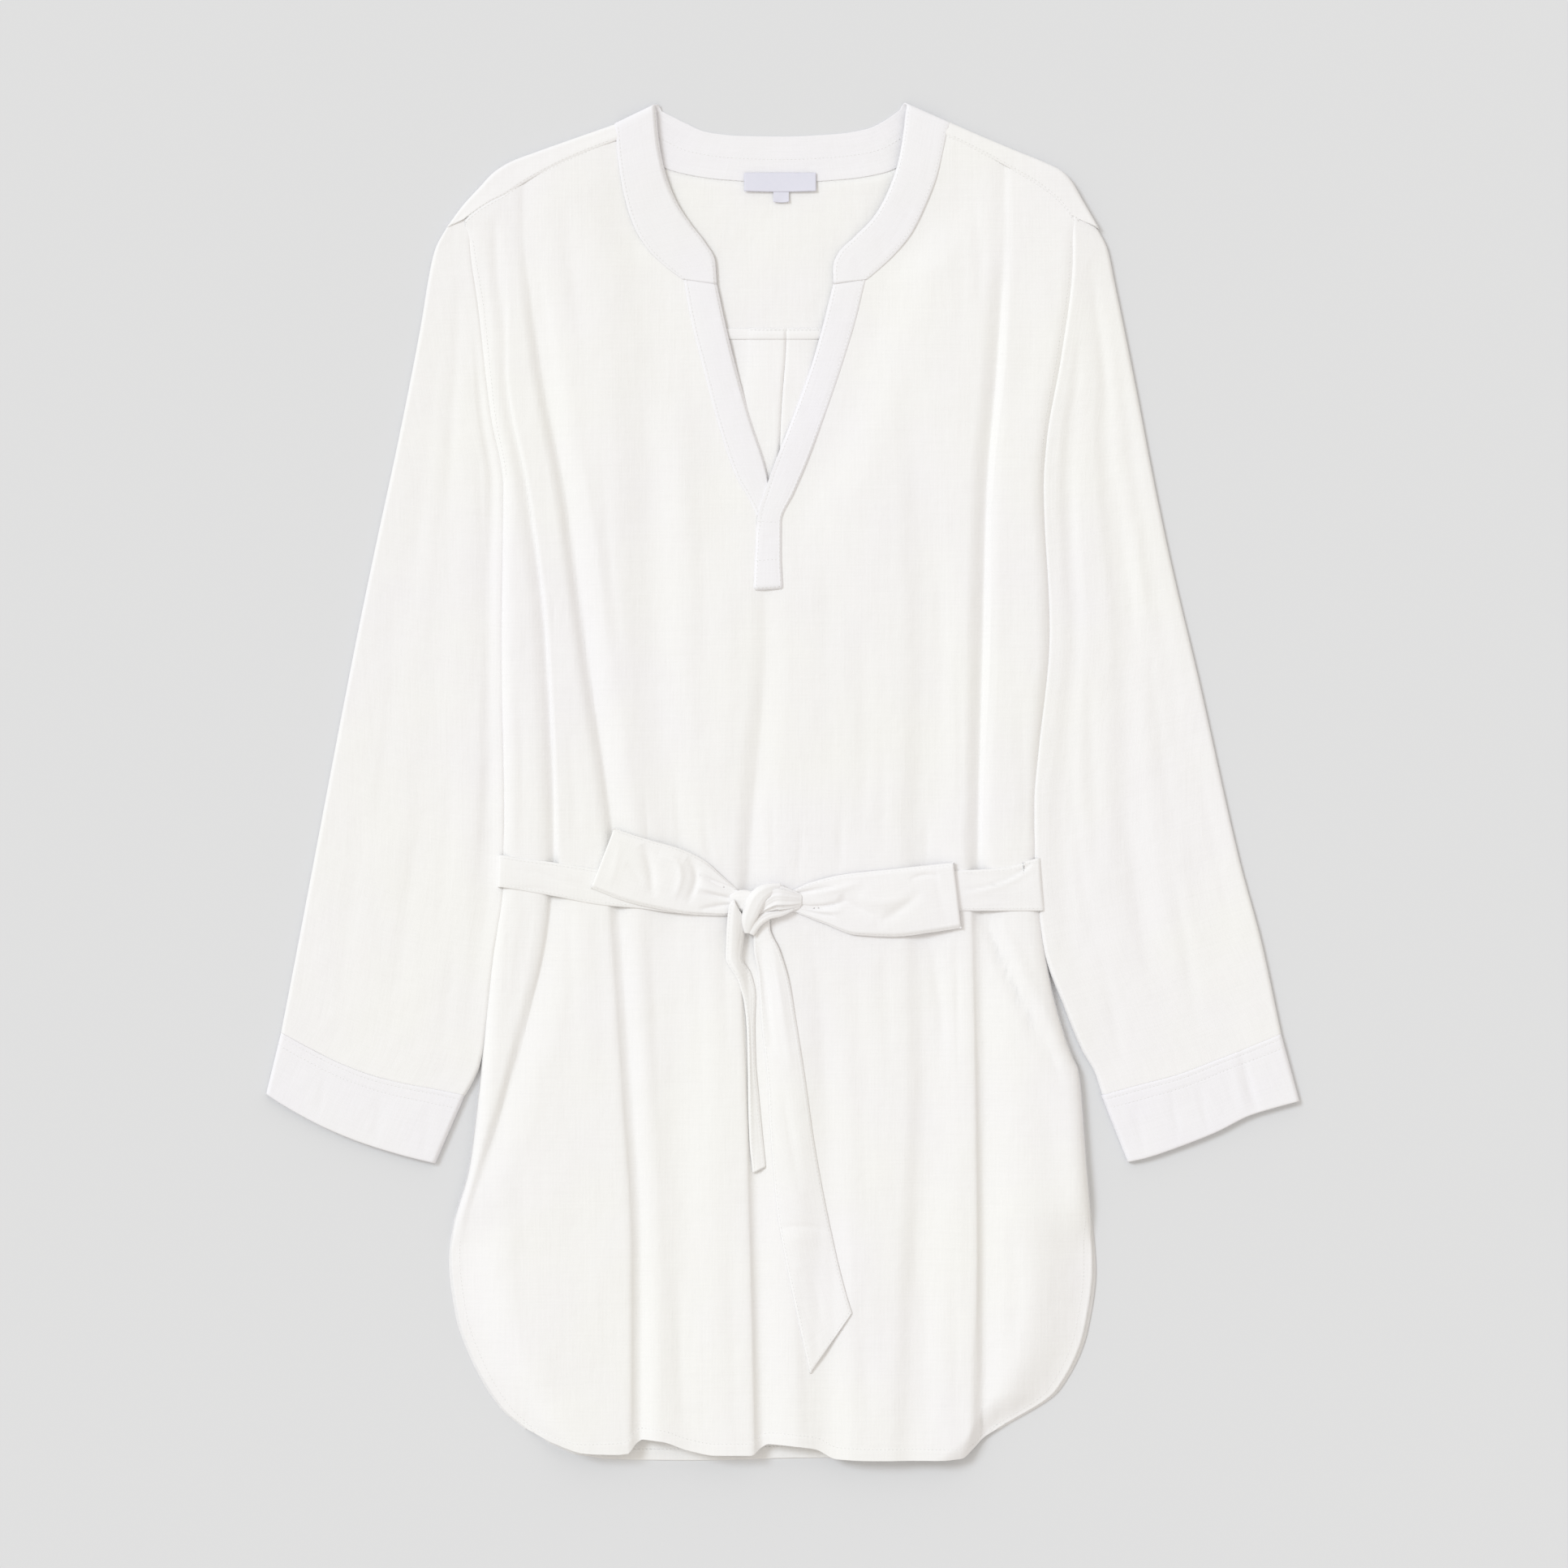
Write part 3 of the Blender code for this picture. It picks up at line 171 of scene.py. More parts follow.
BAND_FRONT_RIGHT = (
    (79.5, 438.0, 105.5, 425.5), (77.9, 423.5, 102.8, 412.5), (74.7, 405.0, 98.5, 395.0),
    (68.0, 385.5, 91.0, 376.0), (58.5, 368.5, 81.5, 357.5), (46.0, 355.5, 70.0, 343.5),
    (35.5, 345.0, 60.5, 334.5), (32.0, 335.5, 56.0, 330.5), (32.3, 324.4, 52.8, 327.5))
PLACKET_UNDER = ((-44.0, 325.3, -65.2, 328.4), (-38.7, 300.5, -60.0, 299.5), (-31.3, 270.5, -52.0, 268.5),
                 (-21.7, 237.0, -43.0, 234.5), (-9.5, 198.5, -31.0, 199.0), (-7.5, 184.0, -22.5, 184.0),
                 (-8.5, 171.5, -17.0, 172.5))
PLACKET_OVER = ((32.3, 325.3, 53.0, 328.4), (26.5, 302.0, 46.6, 302.0), (18.6, 274.0, 38.2, 274.0),
                (6.4, 239.5, 26.5, 239.5), (-5.8, 208.0, 14.8, 208.0), (-12.7, 188.5, 6.5, 188.5),
                (-17.5, 170.0, -2.0, 169.0), (-18.6, 147.0, -2.1, 147.0), (-19.6, 124.0, -1.1, 125.0))
OVERLAP_TOP, OVERLAP_FOOT = 250.0, 214.0

SLEEVES = {
    "left": {
        "lean": 0.0,
        "shoulder": ((-219.5, 363.5), (-212, 368.5), (-203, 371)),
        "beside": ((371, -5.5), (361, -4.6), (350.5, -3.9), (338, -3.4), (306, -3.0), (190, -2.8),
                   (60, -2.8), (0, -2.6), (-92, -2.4), (-125, -2.2), (-155, -1.8), (-176, -1.0),
                   (-187, 0.5), (-198, 4.8), (-205.3, 8.5)),
        "outer": ((-219.5, 363.5), (-228, 348), (-231.5, 334), (-237.5, 298), (-252, 224), (-268, 149.5),
                  (-281, 86), (-325.5, -147), (-328.8, -164)),
        "cuff_seam": ((-328.8, -164), (-310.6, -174), (-289.4, -184.5), (-268, -192.5), (-247, -197.7),
                      (-226, -201.5), (-208.5, -205.3)),
        "cuff_hem": ((-338.7, -204.6), (-326.5, -212.5), (-300, -226.8), (-273.5, -237.5),
                     (-247, -245.5), (-228, -250.2)),
    },
    "right": {
        "lean": 3.2,
        "shoulder": ((204.5, 362), (197.5, 367.5), (187, 370)),
        "beside": ((370, -5.5), (360, -4.6), (348.5, -3.9), (336, -3.4), (303, -3.0), (190, -2.8),
                   (60, -2.8), (0, -2.6), (-92, -2.0), (-114, -1.2), (-124, 0.2), (-134, 2.2),
                   (-146, 4.4), (-163, 6.2), (-185, 8.8), (-205.3, 13)),
        "outer": ((204.5, 362), (211.5, 348), (216, 327), (222, 298), (230.6, 255), (241.7, 197),
                  (252.8, 144), (271.4, 65.7), (297.9, -51.9), (312.2, -105), (325, -165)),
        "cuff_seam": ((325, -165), (304, -173.8), (283, -182), (256.5, -192), (230, -199),
                      (207.3, -205.3)),
        "cuff_hem": ((337.1, -209.4), (320, -214), (304, -219), (283, -229.5), (256.5, -240),
                     (235.3, -247), (224.7, -249.3)),
    },
}
SLEEVE_HEIGHT, CUFF_HEIGHT, EDGE_RADIUS = 5.4, 4.6, 3.0
CUFF_DEPTH, CUFF_SEAM_GAP = 48.0, 0.25
CUFF_GROOVES = (3.5, 9.5)  # two rows of stitching sink so far below the cuff's seam
SEAM_TUCK = 1.8  # how far a sleeve runs on under its cuff
# Soft troughs along each sleeve: place across at the armhole and at the cuff, depth, half width
SLEEVE_TROUGHS = {
    "left": ((0.86, 0.93, 1.4, 0.07), (0.50, 0.62, 0.5, 0.16)),
    "right": ((0.72, 0.90, 1.2, 0.10), (0.36, 0.55, 1.3, 0.13), (0.14, 0.22, 0.6, 0.10)),
}

# The belt round the waist, from the knot outwards: x, upper edge and lower edge. Its turn round the
# side: how far out and how high. Loops and tails: one edge's x and y, then the other's.
BELT_LEFT = ((-27.2, -75, -86.5), (-48, -70.5, -87.5), (-70, -66.5, -86.5), (-93, -62.5, -83.5),
             (-120, -58, -81), (-152, -53, -75), (-172, -50.5, -71.5), (-184.4, -48.5, -69.5))
BELT_RIGHT = ((2.6, -75, -84.5), (30, -69.5, -85), (60, -64, -85), (90, -60, -85), (115, -58.5, -85),
              (145, -56.5, -85), (158, -53, -85), (166.8, -50.5, -85))
BELT_TURN = ((-9.0, 8.9), (-4.0, 8.9), (0.6, 8.6), (2.3, 7.1), (2.6, 4.7), (2.3, 2.1), (1.2, 0.4),
             (-1.5, 0.0), (-6.0, 0.0))
BELT_BACK = ((-177.5, -49.5, -70.5), (-140, -53, -79), (-80, -55, -83), (0, -56, -84), (80, -55, -84),
             (157.5, -52, -84.5))
LOOP_LEFT = ((-27.9, -73.5, -27.9, -83), (-40, -62.5, -39, -88), (-52, -52, -61, -87.2),
             (-67, -44.5, -83, -83.5), (-88, -38.5, -104, -78.5), (-109.5, -31.5, -124.5, -70.5))
LOOP_RIGHT = ((3.3, -72.5, 3.3, -84), (18, -66, 26, -93), (39, -61, 48, -100.8), (66, -58, 72, -101.8),
              (92, -55.2, 97.5, -98.8), (109, -53.5, 114, -96.3))
LOOP_FLOOR, LOOP_CROWN = 9.0, 11.9
LOOP_CURL, LOOP_SWELL = 1.7, 1.0  # how far a loop's edges come down and its middle rises
LOOP_ROWS, LOOP_TURN_ROWS = 150, 14  # rows along each layer and round the fold
TAIL_LONG = ((-18.5, -86, -9.5, -86), (-20, -97, -9, -96.5), (-20, -108, -3, -110),
             (-17.2, -126, 3.5, -131), (-15, -158, 8.5, -160), (-11, -194, 14, -195),
             (-9.5, -222, 19, -231), (-7.5, -250, 24.5, -263), (-4.5, -283, 30, -290),
             (0.5, -311, 36, -317), (8, -347, 42, -339), (17, -386.9, 44.5, -346.6))
TAIL_SHORT = ((-33, -77, -29.2, -84), (-36, -82, -25, -91), (-37.5, -98, -25.5, -99),
              (-38, -115, -27.5, -115), (-30, -131, -21.5, -126), (-26, -146, -18.5, -141),
              (-24.5, -160, -19, -158),
              (-23.8, -182, -18.5, -182), (-23.5, -206, -16.5, -206), (-22.5, -236, -14, -232),
              (-20.5, -256, -12, -252))
# The short tail is folded on its edge: its height over the front at each row, and its crest's over that
SHORT_TAIL_RISE = (6.4, 5.6, 3.8, 1.8, 1.2, 1.0, 1.0, 1.0, 1.0, 1.0, 1.1)
SHORT_TAIL_CREST = 1.7
NECK_LABEL, SIZE_TAB, LABEL_TOP = (-26.0, 21.0, 385.6, 397.6), (-7.0, 3.2, 378.6, 385.2), 2.2

SENSOR = 36  # the camera's, in millimetres
KEY_TURN, KEY_SPREAD = (-46, 0, 57), 20  # the sun's rotation and the angle it fills, in degrees
FLOOR_HALF = 6  # half the floor's width, in metres

# Creases. From, over and to, in plan steps, then half width and height in millimetres (below 0 a trough).
FRONT_CREASES = (
    (612, 262, 612, 330, 622, 420, 5.0, -1.2), (588, 300, 596, 370, 604, 430, 3.5, -0.8),
    (660, 300, 676, 420, 690, 520, 6.0, -0.7), (700, 240, 704, 330, 722, 430, 7.0, -0.8),
    (742, 560, 752, 700, 770, 840, 5.0, -0.7), (716, 560, 736, 680, 748, 800, 4.0, 0.4),
    (860, 560, 868, 740, 862, 930, 9.0, -0.7), (900, 700, 898, 820, 890, 960, 6.0, 0.35),
    (1010, 620, 1020, 800, 1014, 1000, 9.0, -0.5), (1060, 760, 1066, 900, 1062, 1040, 7.0, -0.9),
    (1086, 900, 1088, 980, 1086, 1060, 4.0, -0.6), (1150, 640, 1160, 800, 1158, 1000, 8.0, -0.8),
    (1180, 820, 1184, 930, 1180, 1050, 4.0, -0.5), (1196, 240, 1206, 300, 1206, 380, 5.0, -1.0),
    (1180, 220, 1186, 320, 1180, 460, 8.0, -0.6), (1262, 300, 1262, 420, 1256, 520, 5.0, -0.8),
    (1246, 620, 1244, 740, 1238, 860, 4.0, -0.5), (1256, 850, 1262, 960, 1258, 1050, 5.0, -0.8),
    (640, 850, 644, 960, 642, 1050, 4.0, -0.8), (700, 900, 708, 980, 710, 1050, 4.0, -0.7),
    (794, 980, 798, 1020, 800, 1052, 3.0, -0.6), (832, 960, 836, 1010, 840, 1060, 3.5, -0.8),
    (868, 1000, 872, 1040, 876, 1070, 3.0, -0.7), (950, 960, 952, 1020, 950, 1082, 4.0, -0.6),
    (985, 1010, 986, 1050, 982, 1084, 3.0, -0.6), (1035, 1010, 1036, 1040, 1034, 1074, 3.5, -0.6),
    (1140, 1010, 1142, 1040, 1140, 1064, 3.0, -0.7), (1225, 1000, 1228, 1030, 1226, 1062, 3.0, -0.6),
    (650, 1112, 646, 1170, 634, 1240, 4.0, -1.0), (700, 1118, 704, 1210, 706, 1330, 6.0, -0.9),
    (735, 1122, 740, 1220, 744, 1380, 6.0, -0.7), (800, 1132, 806, 1230, 812, 1380, 7.0, -1.1),
    (858, 1136, 862, 1230, 866, 1400, 7.0, -0.8), (890, 1140, 893, 1200, 896, 1300, 4.0, -0.7),
    (1000, 1150, 1012, 1260, 1020, 1400, 8.0, -0.9), (1050, 1158, 1060, 1300, 1066, 1500, 9.0, -0.8),
    (1088, 1160, 1092, 1230, 1096, 1330, 4.0, -0.8), (1140, 1150, 1157, 1220, 1160, 1320, 5.0, -1.3),
    (1178, 1150, 1180, 1230, 1180, 1330, 4.0, -0.8), (1214, 1128, 1242, 1200, 1308, 1326, 3.4, -3.0),
    (1232, 1128, 1262, 1196, 1322, 1310, 4.5, 1.4),
    (1289, 740, 1293, 800, 1284, 868, 3.2, -2.2), (1290, 1350, 1300, 1450, 1296, 1560, 9.0, -0.8),
    (640, 1400, 644, 1520, 654, 1660, 10.0, -0.8), (700, 1450, 706, 1580, 712, 1740, 9.0, -0.7),
    (745, 1560, 748, 1660, 750, 1780, 6.0, -0.6), (836, 1560, 838, 1660, 842, 1770, 6.0, -0.9),
    (900, 1500, 903, 1620, 905, 1770, 6.0, -0.6), (985, 1560, 990, 1660, 996, 1770, 6.0, -0.9),
    (1060, 1580, 1066, 1690, 1070, 1780, 7.0, -0.6), (1130, 1480, 1138, 1620, 1142, 1780, 9.0, -0.8),
    (1175, 1560, 1178, 1670, 1180, 1785, 5.0, -0.5), (1245, 1500, 1252, 1600, 1250, 1700, 8.0, -0.9),
    (1226, 1262, 1248, 1272, 1256, 1300, 2.2, -0.5), (1250, 1258, 1276, 1280, 1290, 1310, 2.4, -0.5),
    (1228, 1300, 1250, 1320, 1282, 1328, 2.4, -0.5), (1262, 1290, 1268, 1320, 1262, 1348, 2.2, -0.4),
    (1240, 1330, 1266, 1346, 1296, 1344, 2.6, -0.4), (1290, 1290, 1300, 1310, 1304, 1336, 2.0, -0.4),
)
# Sewn lines that pull the cloth in: darts and side seam, in plan steps
FRONT_SEAMS = (
    (622, 819, 644, 800, 665, 783, 0.9, -1.1), (676, 761, 692, 754, 710, 750, 0.9, -1.0),
    (1223, 783, 1252, 806, 1283, 832, 0.9, -1.1), (628, 1115, 625, 1178, 621, 1240, 1.0, -0.8),
)
SLEEVE_CREASES = {
    "left": ((566, 340, 560, 480, 548, 640, 6.0, -0.8), (590, 560, 594, 700, 584, 880, 5.0, -1.0),
             (540, 420, 520, 620, 500, 800, 9.0, -0.6), (500, 660, 480, 860, 462, 1040, 9.0, -0.5),
             (560, 900, 552, 1040, 540, 1180, 8.0, -0.7), (520, 1000, 500, 1120, 486, 1240, 7.0, -0.6),
             (600, 930, 592, 1050, 580, 1180, 5.0, -0.8), (450, 1000, 430, 1130, 420, 1250, 8.0, -0.5),
             (560, 1180, 550, 1240, 548, 1300, 5.0, -0.5), (478, 820, 468, 900, 455, 990, 5.0, 0.35)),
    "right": ((1344, 320, 1356, 420, 1372, 540, 6.0, -1.0), (1372, 560, 1390, 700, 1410, 860, 7.0, -1.3),
              (1412, 760, 1430, 900, 1452, 1060, 7.0, -1.0), (1330, 420, 1326, 560, 1318, 700, 6.0, -0.8),
              (1340, 800, 1346, 940, 1352, 1080, 7.0, -1.0), (1320, 900, 1330, 1040, 1350, 1180, 6.0, -0.9),
              (1380, 960, 1400, 1090, 1420, 1220, 8.0, -0.8), (1460, 880, 1490, 1010, 1520, 1160, 7.0, -0.9),
              (1440, 1060, 1460, 1160, 1476, 1280, 6.0, -0.8), (1400, 640, 1404, 700, 1412, 760, 5.0, 0.4),
              (1356, 1180, 1372, 1250, 1384, 1320, 5.0, -0.7), (1430, 560, 1452, 700, 1466, 800, 5.0, -0.6)),
}
CUFF_CREASES = {
    "left": ((400, 1318, 396, 1350, 390, 1378, 3.0, -0.35), (470, 1345, 466, 1380, 462, 1406, 4.0, -0.35),
             (530, 1360, 526, 1390, 520, 1424, 3.5, -0.3)),
    "right": ((1528, 1290, 1540, 1340, 1550, 1370, 3.0, -1.2), (1516, 1300, 1528, 1345, 1534, 1372, 3.5, 0.5),
              (1440, 1345, 1448, 1375, 1452, 1410, 3.0, -0.5),
              (1400, 1356, 1404, 1390, 1412, 1424, 3.5, -0.4),
              (1476, 1335, 1482, 1360, 1490, 1395, 3.0, -0.5)),
}
LOOP_CREASES = (
    (792, 1040, 802, 1072, 804, 1106, 4.5, -2.0), (812, 1052, 838, 1070, 830, 1108, 3.5, 1.4),
    (846, 1058, 858, 1080, 846, 1114, 3.5, -2.0), (910, 1098, 888, 1090, 862, 1078, 2.0, -2.4),
    (908, 1108, 884, 1104, 860, 1098, 2.0, -2.0), (906, 1114, 886, 1116, 862, 1120, 1.8, -1.6),
    (900, 1104, 880, 1098, 858, 1090, 2.4, 1.0), (764, 1030, 760, 1060, 750, 1092, 4.0, 0.5),
    (770, 1066, 782, 1074, 790, 1090, 3.0, -0.6),
    (972, 1110, 1004, 1118, 1044, 1108, 1.7, -2.8), (972, 1118, 1000, 1124, 1030, 1128, 1.7, -2.0),
    (972, 1104, 996, 1098, 1030, 1092, 1.8, -1.4), (980, 1116, 1010, 1124, 1040, 1120, 2.2, 1.0),
    (1034, 1104, 1052, 1116, 1086, 1132, 4.2, -1.8), (1060, 1100, 1084, 1112, 1120, 1104, 4.6, 1.0),
    (1076, 1138, 1106, 1122, 1136, 1098, 4.4, -1.2), (1120, 1084, 1138, 1078, 1158, 1080, 1.8, -0.9),
    (1000, 1100, 1030, 1096, 1062, 1086, 3.0, 0.9), (1150, 1074, 1158, 1106, 1166, 1140, 5.0, -0.5),
)
BELT_CREASES = (
    (648, 1070, 676, 1080, 706, 1094, 2.4, -0.6), (700, 1082, 724, 1094, 752, 1104, 2.2, -0.6),
    (636, 1096, 656, 1094, 680, 1098, 2.0, -0.4), (1184, 1097, 1236, 1085, 1274, 1060, 1.2, -1.4),
    (1186, 1101, 1236, 1089, 1276, 1066, 2.6, 0.8), (1190, 1112, 1230, 1108, 1268, 1112, 3.0, -0.4),
    (1192, 1078, 1230, 1080, 1262, 1070, 2.4, -0.5),
)
TAIL_CREASES = (
    (936, 1160, 944, 1225, 952, 1300, 3.2, -2.0), (950, 1160, 962, 1230, 974, 1320, 3.5, 1.0),
    (962, 1330, 974, 1400, 986, 1470, 4.0, -0.8), (955, 1514, 990, 1510, 1024, 1518, 2.4, -0.7),
    (960, 1530, 990, 1524, 1026, 1534, 5.0, 0.4), (1000, 1560, 1006, 1600, 1018, 1640, 4.0, -0.4),
    (980, 1600, 992, 1636, 1000, 1670, 4.0, 0.3),
)
BAND_CREASES = (
    (838, 262, 850, 270, 858, 286, 3.0, -0.4), (1078, 292, 1086, 302, 1090, 318, 3.0, -0.4),
    (1050, 316, 1058, 326, 1060, 338, 3.0, -0.4), (1100, 240, 1112, 252, 1126, 262, 3.0, -0.3),
    (1024, 380, 1036, 386, 1048, 396, 3.0, -0.4), (1006, 440, 1018, 448, 1030, 456, 3.0, -0.3),
    (986, 500, 998, 510, 1008, 520, 3.0, -0.35), (968, 556, 980, 562, 990, 574, 3.0, -0.3),
    (940, 660, 948, 664, 958, 662, 3.0, -0.3), (868, 380, 876, 388, 886, 392, 3.0, -0.3),
    (896, 470, 904, 480, 912, 484, 3.0, -0.3),
)


class BlouseSettings(bpy.types.PropertyGroup):
    """Colours and sizes that a user would change."""

    linen: bpy.props.FloatVectorProperty(
        name="Linen", description="Colour of the single cloth", subtype="COLOR", size=3, min=0, max=1,
        default=(0.888, 0.880, 0.868))
    double_linen: bpy.props.FloatVectorProperty(
        name="Double linen", description="Colour of bands and cuffs, where the cloth is double",
        subtype="COLOR", size=3, min=0, max=1, default=(0.876, 0.866, 0.880))
    satin: bpy.props.FloatVectorProperty(
        name="Label satin", description="Colour of the neck label", subtype="COLOR", size=3, min=0, max=1,
        default=(0.756, 0.748, 0.838))
    thread_pitch: bpy.props.FloatProperty(
        name="Thread pitch", description="Distance between the linen's threads", unit="LENGTH",
        default=0.0007, min=0.0003, max=0.003)
    shell: bpy.props.FloatProperty(
        name="Cloth thickness", description="Thickness of a single layer of linen", unit="LENGTH",
        default=0.0006, min=0.0002, max=0.001)
    stitch: bpy.props.FloatProperty(
        name="Stitch length", description="Length of one stitch", unit="LENGTH", default=0.0026,
        min=0.001, max=0.006)


class StageSettings(bpy.types.PropertyGroup):
    """Floor, light and camera."""

    floor: bpy.props.FloatVectorProperty(
        name="Floor", description="Colour of the pale floor", subtype="COLOR", size=3, min=0, max=1,
        default=(0.722, 0.724, 0.740))
    key: bpy.props.FloatProperty(
        name="Key light", description="Strength of the soft key light", default=1.29, min=0, max=10)
    key_colour: bpy.props.FloatVectorProperty(
        name="Key colour", description="Colour of the key light", subtype="COLOR", size=3, min=0, max=1,
        default=(0.83, 0.915, 1.0))
    fill: bpy.props.FloatProperty(
        name="Fill light", description="Strength of the light from all round", default=0.80, min=0, max=5)
    fill_colour: bpy.props.FloatVectorProperty(
        name="Fill colour", description="Colour of the light from all round", subtype="COLOR", size=3,
        min=0, max=1, default=(1.0, 0.965, 0.905))
    camera_height: bpy.props.FloatProperty(
        name="Camera height", description="Height of the camera above the floor", unit="LENGTH",
        default=3.0, min=1, max=10)


def smooth(at, places, values):
    """A cubic curve through a table's points that never overshoots them, read at the given places."""
    places, values = np.asarray(places, float), np.asarray(values, float)
    order = np.argsort(places)
    places, values = places[order], values[order]
    step = np.diff(places)
    slope = np.diff(values) / step
    tangent = np.concatenate([slope[:1], np.zeros(len(slope) - 1), slope[-1:]])
    same = slope[:-1] * slope[1:] > 0
    first, second = slope[:-1][same], slope[1:][same]
    tangent[1:-1][same] = 2 * first * second / (first + second)
    at = np.asarray(at, float)
    i = np.clip(np.searchsorted(places, at, side="right") - 1, 0, len(step) - 1)
    t = np.clip((at - places[i]) / step[i], 0, 1)
    rise = values[i + 1] - values[i]
    return (values[i] + rise * t * t * (3 - 2 * t)
            + step[i] * t * (1 - t) * (tangent[i] * (1 - t) - tangent[i + 1] * t))


def table(named, at):
    """Reads the second column of a named table at places along its first."""
    places, values = named.values()
    return smooth(at, places, values)


def trace(points, count):
    """Rows of numbers read evenly along a smooth curve through the table's rows."""
    points = np.asarray(points, float)
    walk = points[:, :2] if points.shape[1] < 4 else (points[:, :2] + points[:, 2:4]) / 2
    along = np.concatenate([[0], np.cumsum(np.linalg.norm(np.diff(walk, axis=0), axis=1))])
    at = np.linspace(0, along[-1], count)
    return np.stack([smooth(at, along, column) for column in points.T], axis=1)


def ease(value, start, end):
    """0 before start, 1 after end, and an S-curve between them."""
    t = np.clip((np.asarray(value, float) - start) / (end - start), 0, 1)
    return t * t * (3 - 2 * t)


def denser(values, times):
    """A list of numbers with so many more steps between each pair."""
    count = (len(values) - 1) * times + 1
    return np.interp(np.linspace(0, len(values) - 1, count), np.arange(len(values)), values)


def loft(y):
    """Height of the front's ridges at y."""
    return table(LOFT, y)


def neck_dip(y):
    """How far the front sinks at y where it is next to the neck opening."""
    return table(NECK_DIP, y)


def in_belt_zone(y):
    """1 where the belt runs under the back and over the front, easing to 0 beyond."""
    return ease(y, BELT_FOOT - BELT_EASE, BELT_FOOT) * (1 - ease(y, BELT_TOP, BELT_TOP + BELT_EASE))


def crease_height(points, creases):
    """Sum of soft troughs and ridges at points.

    Each follows a parabola through its three places, with the section 1/(1+q*q)^2 of the distance q
    in half widths, and tapers at both ends as the sine of its length.
    """
    x, y = points[..., 0], points[..., 1]
    total = np.zeros_like(x)
    for x0, y0, x1, y1, x2, y2, half, height in creases:
        bends = (np.array([(x0, y0), (x1, y1), (x2, y2)]) - MIDDLE) * (STEP, -STEP)
        low, high = bends.min(axis=0) - 3 * half, bends.max(axis=0) + 3 * half
        near = (x > low[0]) & (x < high[0]) & (y > low[1]) & (y < high[1])
        if not near.any():
            continue
        t = np.linspace(0, 1, 41)[:, None]
        middle = 2 * bends[1] - (bends[0] + bends[2]) / 2
        curve = (1 - t) ** 2 * bends[0] + 2 * t * (1 - t) * middle + t * t * bends[2]
        px, py = x[near], y[near]
        away = (px[:, None] - curve[:, 0]) ** 2 + (py[:, None] - curve[:, 1]) ** 2
        best = away.argmin(axis=1)
        taper = np.sin(np.pi * np.clip(best / 40, 0, 1)) ** 0.7
        total[near] += height * taper / (1 + away[np.arange(len(best)), best] / half ** 2) ** 2
    return total


def fold_values(name, y):
    """Line, depth, wall widths and lips of one fold at y."""
    line = smooth(y, STATIONS, FOLD_LINES[name])
    depth = smooth(y, STATIONS, FOLD_DEPTHS[name])
    above, below = FOLD_WALLS[name]
    upper = ease(y, BELT_FOOT, BELT_TOP)
    left, right, left_lip, right_lip = (low + (high - low) * upper for high, low in zip(above, below))
    shown = ease(depth, 0, FULL_LIP_DEPTH) * (1 - ease(-y, *LIPS_END[name]))
    return line, depth, left, right, left_lip * shown, right_lip * shown


def front_surface(across, y):
    """The front's outer face: a level sheet at the ridges' height, less one groove for each fold.

    A groove's walls are half waves of a cosine. A lip moves the wall's upper half over the groove
    and its lower half back under it. Side edges come down in a quarter circle, hems in an S-curve.
    """
    beside_slit = np.maximum(table(NECK_LEFT, y) - across, across - table(NECK_RIGHT, y)).clip(0)
    height = loft(y) - neck_dip(y) * (1 - ease(beside_slit, *DIP_ENDS))
    shift = np.zeros_like(across)
    for name in FOLD_NAMES:
        line, depth, left, right, left_lip, right_lip = fold_values(name, y)
        away = across - line
        width = np.where(away < 0, left, right)
        lip = np.where(away < 0, left_lip, right_lip)
        turn = np.clip(away / width, -1, 1)
        height = height - depth * 0.5 * (1 + np.cos(np.pi * np.abs(turn) ** FOLD_FLOORS[name]))
        shift = shift + lip * width / 2 * np.sin(2 * np.pi * turn)
    inwards = np.minimum(across - table(LEFT_EDGE, y), table(RIGHT_EDGE, y) - across).clip(0)
    free = ease(-y, 270, 310)
    rolled = np.sqrt(1 - (1 - np.clip(inwards / SIDE_ROLL, 0, 1)) ** 2)
    laid = ease(inwards, 0, HEM_ROLL)
    seam = 1 - ease(y, SHOULDER_POINT - 14, SHOULDER_POINT)
    edge = 2 * WALL + GAP + BACK_LIFT * in_belt_zone(y)
    fall = 1 + seam * (rolled * (1 - free) + laid * free - 1)
    height = edge + (height - edge) * fall
    drop = table(HEM, across) * ease(-y, 424 - HEM_LENGTH, 424)
    points = np.stack([across + shift, y - drop, height], axis=-1)
    calm = ease(inwards, 0, 8)  # creases die out at the side edges
    points[..., 2] += (crease_height(points, FRONT_CREASES) + crease_height(points, FRONT_SEAMS)) * calm
    return points


def spread(knots, counts):
    """Places between each row's knots, so many in each stretch, with the knots kept in order."""
    knots = np.stack(np.broadcast_arrays(*knots), axis=-1)
    low, high = knots[..., :1], knots[..., -1:]
    rank = np.arange(knots.shape[-1]) / (knots.shape[-1] - 1)
    share = 0.3
    knots = np.maximum.accumulate(np.clip(knots, low, high), axis=-1)
    knots = (1 - share) * knots + share * (low + (high - low) * rank)
    parts = [knots[..., i, None] + (knots[..., i + 1] - knots[..., i])[..., None] * np.arange(n) / n
             for i, n in enumerate(counts)]
    return np.concatenate([*parts, high], axis=-1)


